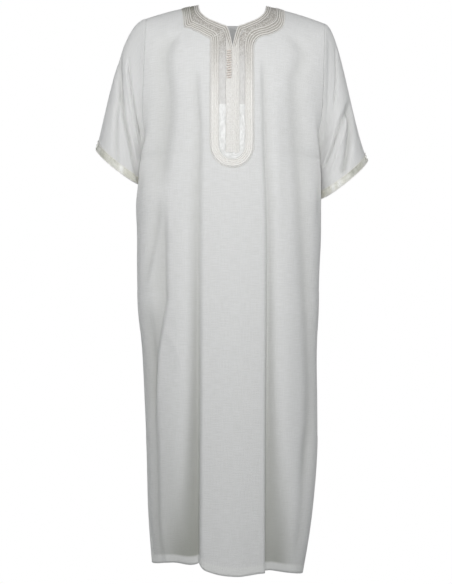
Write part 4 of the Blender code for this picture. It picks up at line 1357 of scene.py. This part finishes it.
def makeBibRibbon():
    # down beside the strip on the wearer's right, round its end, and up on the left
    half, end = trimForm["stripHalf"], trimForm["stripEnd"]
    halves = {}
    for hand in (right, left):
        inner, outer = zip(*trimLines[hand]["bibTop"])
        inner = [*inner, *((half, down) for down in trimForm["legDowns"])]
        inner += [(half * share, end + drop) for share, drop in trimForm["stripCorner"]]
        outer = bibLine(outer, trimLines[hand]["braidHalf"], trimForm["braidDrop"])
        halves[hand] = throughStations(inner, outer)
    # marks for a painted highlight low on the bib, and for the flecks
    strip = layStrip(front, *wholeRound(halves), ribbonTrim["columns"],
                     ribbonHeight(ribbonTrim["bibSeed"], ribbonTrim["bibPucker"]),
                     {"bright": paintedHighlightMark, "flecked": fleckMark})
    ribbon = addPiece("bibRibbon", [strip], fleckedSatin, ["bib_ribbon"])


makeCollarRibbons()
makeBibRibbon()
print("satin ribbons made")


braidTrim = {
    "columns": 9,
    "ground": 0.0017,
    "rib": 0.00035,
    "ribPitch": 0.0036,
    # each cord: share of the way across, half width, half height, height over the cloth
    "outerCords": ((0.10, 0.0016, 0.0013, 0.0022), (0.38, 0.0014, 0.0011, 0.0021),
                   (0.63, 0.0013, 0.0010, 0.0019), (0.88, 0.0017, 0.0008, 0.0014)),
    "innerCords": ((0.12, 0.0017, 0.0014, 0.0023), (0.50, 0.0014, 0.0012, 0.0023),
                   (0.88, 0.0013, 0.0011, 0.0023)),
    "pitch": 0.0030,
    "loopPitch": 0.0036,
    "loopReach": 0.0028,
    "loopShare": 0.40,
    "loopThread": 0.00055,
    "loopHeight": 0.0010,
    "edges": (0.08, 0.84),
    "bluntness": 0.35,
    "mitreCord": (0.0008, 0.0007),
    "mitreHeight": 0.0030,
    "mitrePitch": 0.0024,
}


def braidHeight(along, share):
    # cross ribs, highest midway between the edges
    rib = np.abs(np.sin(math.pi * along / braidTrim["ribPitch"]))
    start, span = braidTrim["edges"]
    ground = np.sin(math.pi * (start + span * share)) ** braidTrim["bluntness"]
    return braidTrim["ground"] * ground + braidTrim["rib"] * rib


def threadRings(points, outward, radius):
    # rings of four points round many short threads at once
    way = unit(np.gradient(points, axis=1))
    side = unit(np.cross(outward, way))
    turn = math.pi / 2 * np.arange(4)[:, None]
    rings = side[:, :, None] * np.cos(turn) + np.cross(way, side)[:, :, None] * np.sin(turn)
    return {"grid": points[:, :, None] + rings * radius, "closed": True, "capped": True}


def layLoops(face, inner, outer, marks):
    # a picot edge: half rings of thread that stand outwards from the outer line
    length = lengthsAlong(outer)
    pitch = braidTrim["loopPitch"]
    turn = np.linspace(0.0, math.pi, 7)
    along = np.arange(pitch / 2, length[-1], pitch)[:, None] - braidTrim["loopShare"] * pitch * np.cos(turn)
    reach = (braidTrim["loopReach"] * np.sin(turn))[:, None]
    flat = readLine(outer, length, along) + readLine(unit(outer - inner), length, along) * reach
    points, outward = overPanel(face, flat[..., 0], flat[..., 1], braidTrim["loopHeight"])
    marks = {mark: read(flat)[..., None] for mark, read in marks.items()}
    return {**threadRings(points, outward, braidTrim["loopThread"]), "marks": marks, "finish": creamCord}


def braidSurfaces(face, inner, outer, cords, marks, loops=False):
    surfaces = [layStrip(face, inner, outer, braidTrim["columns"], braidHeight, marks)]
    for share, halfWidth, halfHeight, height in cords:
        surfaces.append(cordOver(face, inner + (outer - inner) * share, height, (halfWidth, halfHeight),
                                 braidTrim["pitch"], marks))
    if loops:
        surfaces.append(layLoops(face, inner, outer, marks))
    return surfaces


def makeBraids():
    marks = {"cream": creamMark}
    outerCords, innerCords = braidTrim["outerCords"], braidTrim["innerCords"]
    halves = {}
    for hand in (right, left):
        lines = trimLines[hand]
        halves[hand] = throughStations(bibLine(lines["bandBraid"], lines["braidHalf"], trimForm["braidDrop"]),
                                       bibLine(lines["bandEdge"], lines["half"], trimForm["edgeDrop"]))
    surfaces = braidSurfaces(front, *wholeRound(halves), outerCords, {**marks, "shaded": shadeMark},
                             loops=True)
    addPiece("frontOuterBraid", surfaces, braidGround, ["braid_outer_front"])

    lines = throughStations(neckEdgeLine, neckBraidLine)
    for hand, name in sideNames.items():
        surfaces = braidSurfaces(front, *onSide(hand, *lines), innerCords, marks)
        start, end = np.array(trimLines[hand]["mitre"]) * (hand, 1.0)
        line = start + (end - start) * np.linspace(0.0, 1.0, 30)[:, None]
        cord = cordOver(front, line, braidTrim["mitreHeight"], braidTrim["mitreCord"],
                        braidTrim["mitrePitch"], {}, sides=6)
        surfaces.append({**cord, "marks": {"cream": 1.0}})
        addPiece(f"{name}InnerBraid", surfaces, braidGround, [f"braid_inner_{name}"])

    reach = trimForm["bandReach"]
    lines = backBand(reach - trimForm["bandBraidWidth"], reach)
    surfaces = braidSurfaces(back, *lines, outerCords, marks, loops=True)
    addPiece("backOuterBraid", surfaces, braidGround, ["braid_outer_back"])
    surfaces = braidSurfaces(back, *backBand(0.0, trimForm["neckBraidWidth"]), innerCords, marks)
    addPiece("backInnerBraid", surfaces, braidGround, ["braid_inner_back"])


makeBraids()
print("braids made")


# The ribbed strip down the middle of the bib, its cords, and the knotted bars at its top
stripTrim = {
    "rows": 560,
    "columns": 26,
    "top": ((0.0000, 0.1835), (0.0060, 0.1810), (0.0110, 0.1710), (0.0155, 0.1600)),
    "fan": 0.05,
    "edge": 0.0006,
    "height": 0.0017,
    "bluntness": 0.2,
    "rib": 0.0004,
    "ribPitch": 0.0037,
    "ribUneven": 0.4,
    "ribWaves": (9, 0.02, 0.06),
    "ribSeed": 71,
    "sideGap": 0.0002,
    "shareSpan": (0.02, 0.98),
    "wall": 0.0009,
    "cords": ((-0.0149, 0.0009, 0.166), (-0.0016, 0.0007, 0.188), (0.0062, 0.0014, 0.184),
              (0.0098, 0.0008, 0.178), (0.0149, 0.0009, 0.166)),  # place across, radius and top
    "cordFlatness": 0.9,
    "cordRise": 0.0008,
    "cordPitch": 0.0028,
    "cordStep": 0.0010,
    "cordsPast": 0.003,
    "cordsCreamer": 0.06,
    "bars": 12,
    "firstBar": 0.1905,
    "barPitch": 0.0047,
    "barPlace": -0.0078,
    "barHalf": 0.0056,
    "barRadii": (0.0019, 0.0017),
    "barHeight": 0.0042,
    "barTwist": 0.0028,
    "barStrands": 0.22,
    "barLean": (0.0009, 0.0006, 2.1),
    "barTaper": (1.02, 5, 0.05),
    "flat": (0.031, 0.225),
}


def makeStrip():
    # cross ribs whose depth changes slowly, on rows that start at the bottom of the neck slit
    rows, columns = stripTrim["rows"], stripTrim["columns"]
    half = trimForm["stripHalf"] - stripTrim["sideGap"]
    x = np.broadcast_to(np.linspace(-half, half, columns), (rows, columns))
    top = np.array(stripTrim["top"])
    start = readCurve(top[:, 0], top[:, 1], np.abs(x))
    plain = np.linspace(top[0, 1], trimForm["stripEnd"], rows)[:, None]
    fade = np.clip(1.0 - (plain - top[0, 1]) / stripTrim["fan"], 0.0, 1.0) ** 2
    down = plain + (start - top[0, 1]) * fade
    rib = np.abs(np.sin(math.pi * down / stripTrim["ribPitch"]))
    uneven = 1.0 + stripTrim["ribUneven"] * wander(stripTrim["ribSeed"], (x, down), *stripTrim["ribWaves"])
    share = np.clip((x / half + 1.0) / 2, *stripTrim["shareSpan"])
    rise = np.sin(math.pi * share) ** stripTrim["bluntness"]
    height = stripTrim["edge"] + (stripTrim["height"] - stripTrim["edge"]) * rise
    points, outward = overPanel(front, x, down, height + stripTrim["rib"] * uneven * rib)
    surface = {"grid": points, "uv": np.stack([x, -down], axis=-1), "flip": True,
               "marks": {"cream": creamMark(np.stack([x, down], axis=-1))}}
    strip = addPiece("placketStrip", [surface], stripThread, ["placket_strip"],
                     stripTrim["wall"], -1.0)
    cords = []
    marks = {"cream": lambda places: creamMark(places + stripTrim["cordsCreamer"])}
    for place, radius, begin in stripTrim["cords"]:
        down = np.arange(begin, trimForm["stripEnd"] + stripTrim["cordsPast"], stripTrim["cordStep"])
        cords.append(cordOver(front, np.column_stack([np.full_like(down, place), down]),
                              stripTrim["height"] + stripTrim["cordRise"],
                              (radius, radius * stripTrim["cordFlatness"]), stripTrim["cordPitch"], marks,
                              sides=8 if radius > 0.001 else 6))
    addPiece("placketCords", cords, creamCord)


def barTaper(part):
    # full in the middle of a bar, and quickly rounded off at its ends
    full, power, least = stripTrim["barTaper"]
    return np.sqrt(np.clip(full - np.abs(2 * part - 1) ** power, least, 1.0))


def makeKnottedBars():
    # short fat cords laid across, thickest in the middle, each a little turned from the next
    bars = []
    share = np.linspace(-1.0, 1.0, 15)
    steady, swing, turn = stripTrim["barLean"]
    for number in range(stripTrim["bars"]):
        down = stripTrim["firstBar"] + stripTrim["barPitch"] * number
        lean = swing * math.sin(turn * number) + steady
        points, outward = overPanel(front, stripTrim["barPlace"] + stripTrim["barHalf"] * share,
                                    down - lean * share, stripTrim["barHeight"])
        bars.append(layCord(points, outward, stripTrim["barRadii"], stripTrim["barTwist"], sides=10,
                            strands=stripTrim["barStrands"], taper=barTaper))
    knots = [f"knot_{number + 1}" for number in range(stripTrim["bars"])]
    addPiece("knottedBars", bars, knotThread, knots)


makeStrip()
makeKnottedBars()
print("placket strip and knotted bars made")


# Narrow facings inside the pocket slits, and rolls of cloth in the seams
seamTrim = {
    "roll": (0.0011, 0.0009),
    "armholeRoll": (0.0013, 0.0010),
    "shoulder": {right: (0.082, 0.206), left: (0.082, 0.221)},
    "sideStep": 0.004,
    "shoulderSteps": 90,
    "armholeSteps": 260,
    "facing": (0.90, 0.985),
    "facingGrid": (60, 10),
    "facingInset": 0.004,
    "facingRise": 0.0014,
    "facingWall": 0.0008,
    "facingSpread": 10,
    "facingFlat": (0.0101, 0.082),  # least width, and length
}


def makeFacings():
    top, bottom, standBack = bodyForm["pocket"]
    inset = seamTrim["facingInset"]
    rows, columns = seamTrim["facingGrid"]
    for hand, name in sideNames.items():
        down = np.linspace(top + inset, bottom - inset, rows)[:, None]
        across = np.linspace(*seamTrim["facing"], columns)[None] * hand
        across, down = (np.array(values) for values in np.broadcast_arrays(across, down))
        points, outward = overPanelAcross(back, across, down, seamTrim["facingRise"])
        width = float(np.linalg.norm(points[:, -1] - points[:, 0], axis=-1).mean())
        uv = np.stack([across * width * seamTrim["facingSpread"], -down], axis=-1)
        surface = {"grid": points, "uv": uv, "flip": hand == left, "marks": {"doubled": 0.8}}
        facing = addPiece(f"{name}PocketFacing", [surface], ivoryCloth,
                          [f"pocket_facing_{name}"], seamTrim["facingWall"])


def seamRoll(points, outward, radii):
    # a plain cord without strands
    return layCord(points, np.broadcast_to(outward, points.shape), radii, 0.02, sides=6, strands=0.0)


def panelSeam(across, down):
    return (panelPoints(front, across, down) + panelPoints(back, across, down)) / 2


def makeSeamRolls():
    # rolls along the shoulders, down the sides between the openings, and round the armholes
    rolls = []
    for hand in (right, left):
        side = hand * np.linspace(*seamTrim["shoulder"][hand], seamTrim["shoulderSteps"])
        down = np.zeros_like(side)
        rolls.append(seamRoll(panelSeam(acrossOf(side, down), down), (0.0, 0.0, 1.0), seamTrim["roll"]))
        for begin, end in ((bodyForm["underarm"], bodyForm["pocket"][0]),
                           (bodyForm["pocket"][1], bodyForm["vent"][0])):
            down = np.arange(begin, end, seamTrim["sideStep"])
            points = panelSeam(np.full_like(down, float(hand)), down)
            rolls.append(seamRoll(points, (float(hand), 0.0, 0.0), seamTrim["roll"]))
        around = np.linspace(0.0, 1.0, seamTrim["armholeSteps"])
        start = sleeveBase(hand, around, np.zeros_like(around))[0]
        points = (armholePoint(hand, np.mod(around, 1.0)) + start) / 2
        rolls.append(seamRoll(points, unit(points - points.mean(axis=0)), seamTrim["armholeRoll"]))
    addPiece("seamRolls", rolls, ivoryCloth)


# Sewing thread: rows of small stitches on the hems, vents, pocket slits, cuffs and collar edges
stitchForm = {
    "pitch": 0.0040,
    "length": 0.0029,
    "thread": 0.00026,
    "rise": 0.00025,
    "height": 0.0009,
    "steps": (-0.5, -0.22, 0.22, 0.5),
    "lifts": (-1.0, 1.0, 1.0, -1.0),
    "hemIn": 0.0195,
    "hemReach": 0.97,
    "hemLength": 0.46,
    "edgeIn": 0.945,
    "ventEnd": 0.022,
    "cuffShares": (0.12, 0.88),
    "collarOut": 0.0035,
    "pocketLines": (((0.150, 0.693), (0.172, 0.702), (0.187, 0.707), (0.204, 0.712)),
                    ((-0.204, 0.716), (-0.188, 0.712), (-0.168, 0.714))),
}


def stitchRow(read, length):
    # Stitches at even places along a line. Each is a tube of four rings that rises off the cloth in
    # its middle; read(share) gives points on the line, and the way out of the cloth, from 0 to 1.
    count = max(int(length / stitchForm["pitch"]), 1)
    centres = (np.arange(count)[:, None] + 0.5) / count
    points, outward = read(centres + stitchForm["length"] / length * np.array(stitchForm["steps"]))
    points = points + outward * (stitchForm["rise"] * np.array(stitchForm["lifts"]))[:, None]
    return {**threadRings(points, outward, stitchForm["thread"]), "marks": {"cream": 1.0}}


def stitchLine(face, line):
    # stitches along a line of (x, down)
    line = np.asarray(line)
    length = lengthsAlong(line)

    def read(share):
        place = readLine(line, length, share * length[-1])
        return overPanel(face, place[..., 0], place[..., 1], stitchForm["height"])
    return stitchRow(read, length[-1])


def stitchHem(face):
    def read(share):
        across = (2.0 * share - 1.0) * stitchForm["hemReach"]
        down = panelLength(face, across) - stitchForm["hemIn"]
        return overPanelAcross(face, across, down, stitchForm["height"])
    return stitchRow(read, stitchForm["hemLength"])


def stitchEdge(face, hand, begin, end):
    def read(share):
        down = begin + (end - begin) * share
        across = np.full_like(down, hand * stitchForm["edgeIn"])
        return overPanelAcross(face, across, down, stitchForm["height"])
    return stitchRow(read, end - begin)


def stitchCuff(hand, share):
    height = cuffTrim["height"] + stitchForm["height"]
    return stitchRow(lambda around: onCuff(hand, around, share, height), cuffTrim["flat"][0])


def makeStitches():
    top, bottom = bodyForm["pocket"][:2]
    out = stitchForm["collarOut"]
    rows = []
    for face in (front, back):
        rows.append(stitchHem(face))
        for hand in (right, left):
            hem = float(panelLength(face, hand)) - stitchForm["ventEnd"]
            rows.append(stitchEdge(face, hand, top, bottom))
            rows.append(stitchEdge(face, hand, bodyForm["vent"][0], hem))
    for hand in (right, left):
        lines = trimLines[hand]
        outer = smoothStations(bibLine(lines["bandEdge"], lines["half"], trimForm["edgeDrop"]), 20)
        wayOut = unit(np.gradient(outer, axis=0)[:, ::-1] * (1.0, -1.0))
        rows.append(stitchLine(front, (outer + wayOut * out) * (hand, 1.0)))
        rows += [stitchCuff(hand, share) for share in stitchForm["cuffShares"]]
    rows.append(stitchLine(back, bothHalves(backNeckLine(trimForm["bandReach"] + out))))
    rows += [stitchLine(front, line) for line in stitchForm["pocketLines"]]
    addPiece("stitches", rows, sewingThread)


makeFacings()
makeSeamRolls()
makeStitches()
print("facings, seams and stitches made")
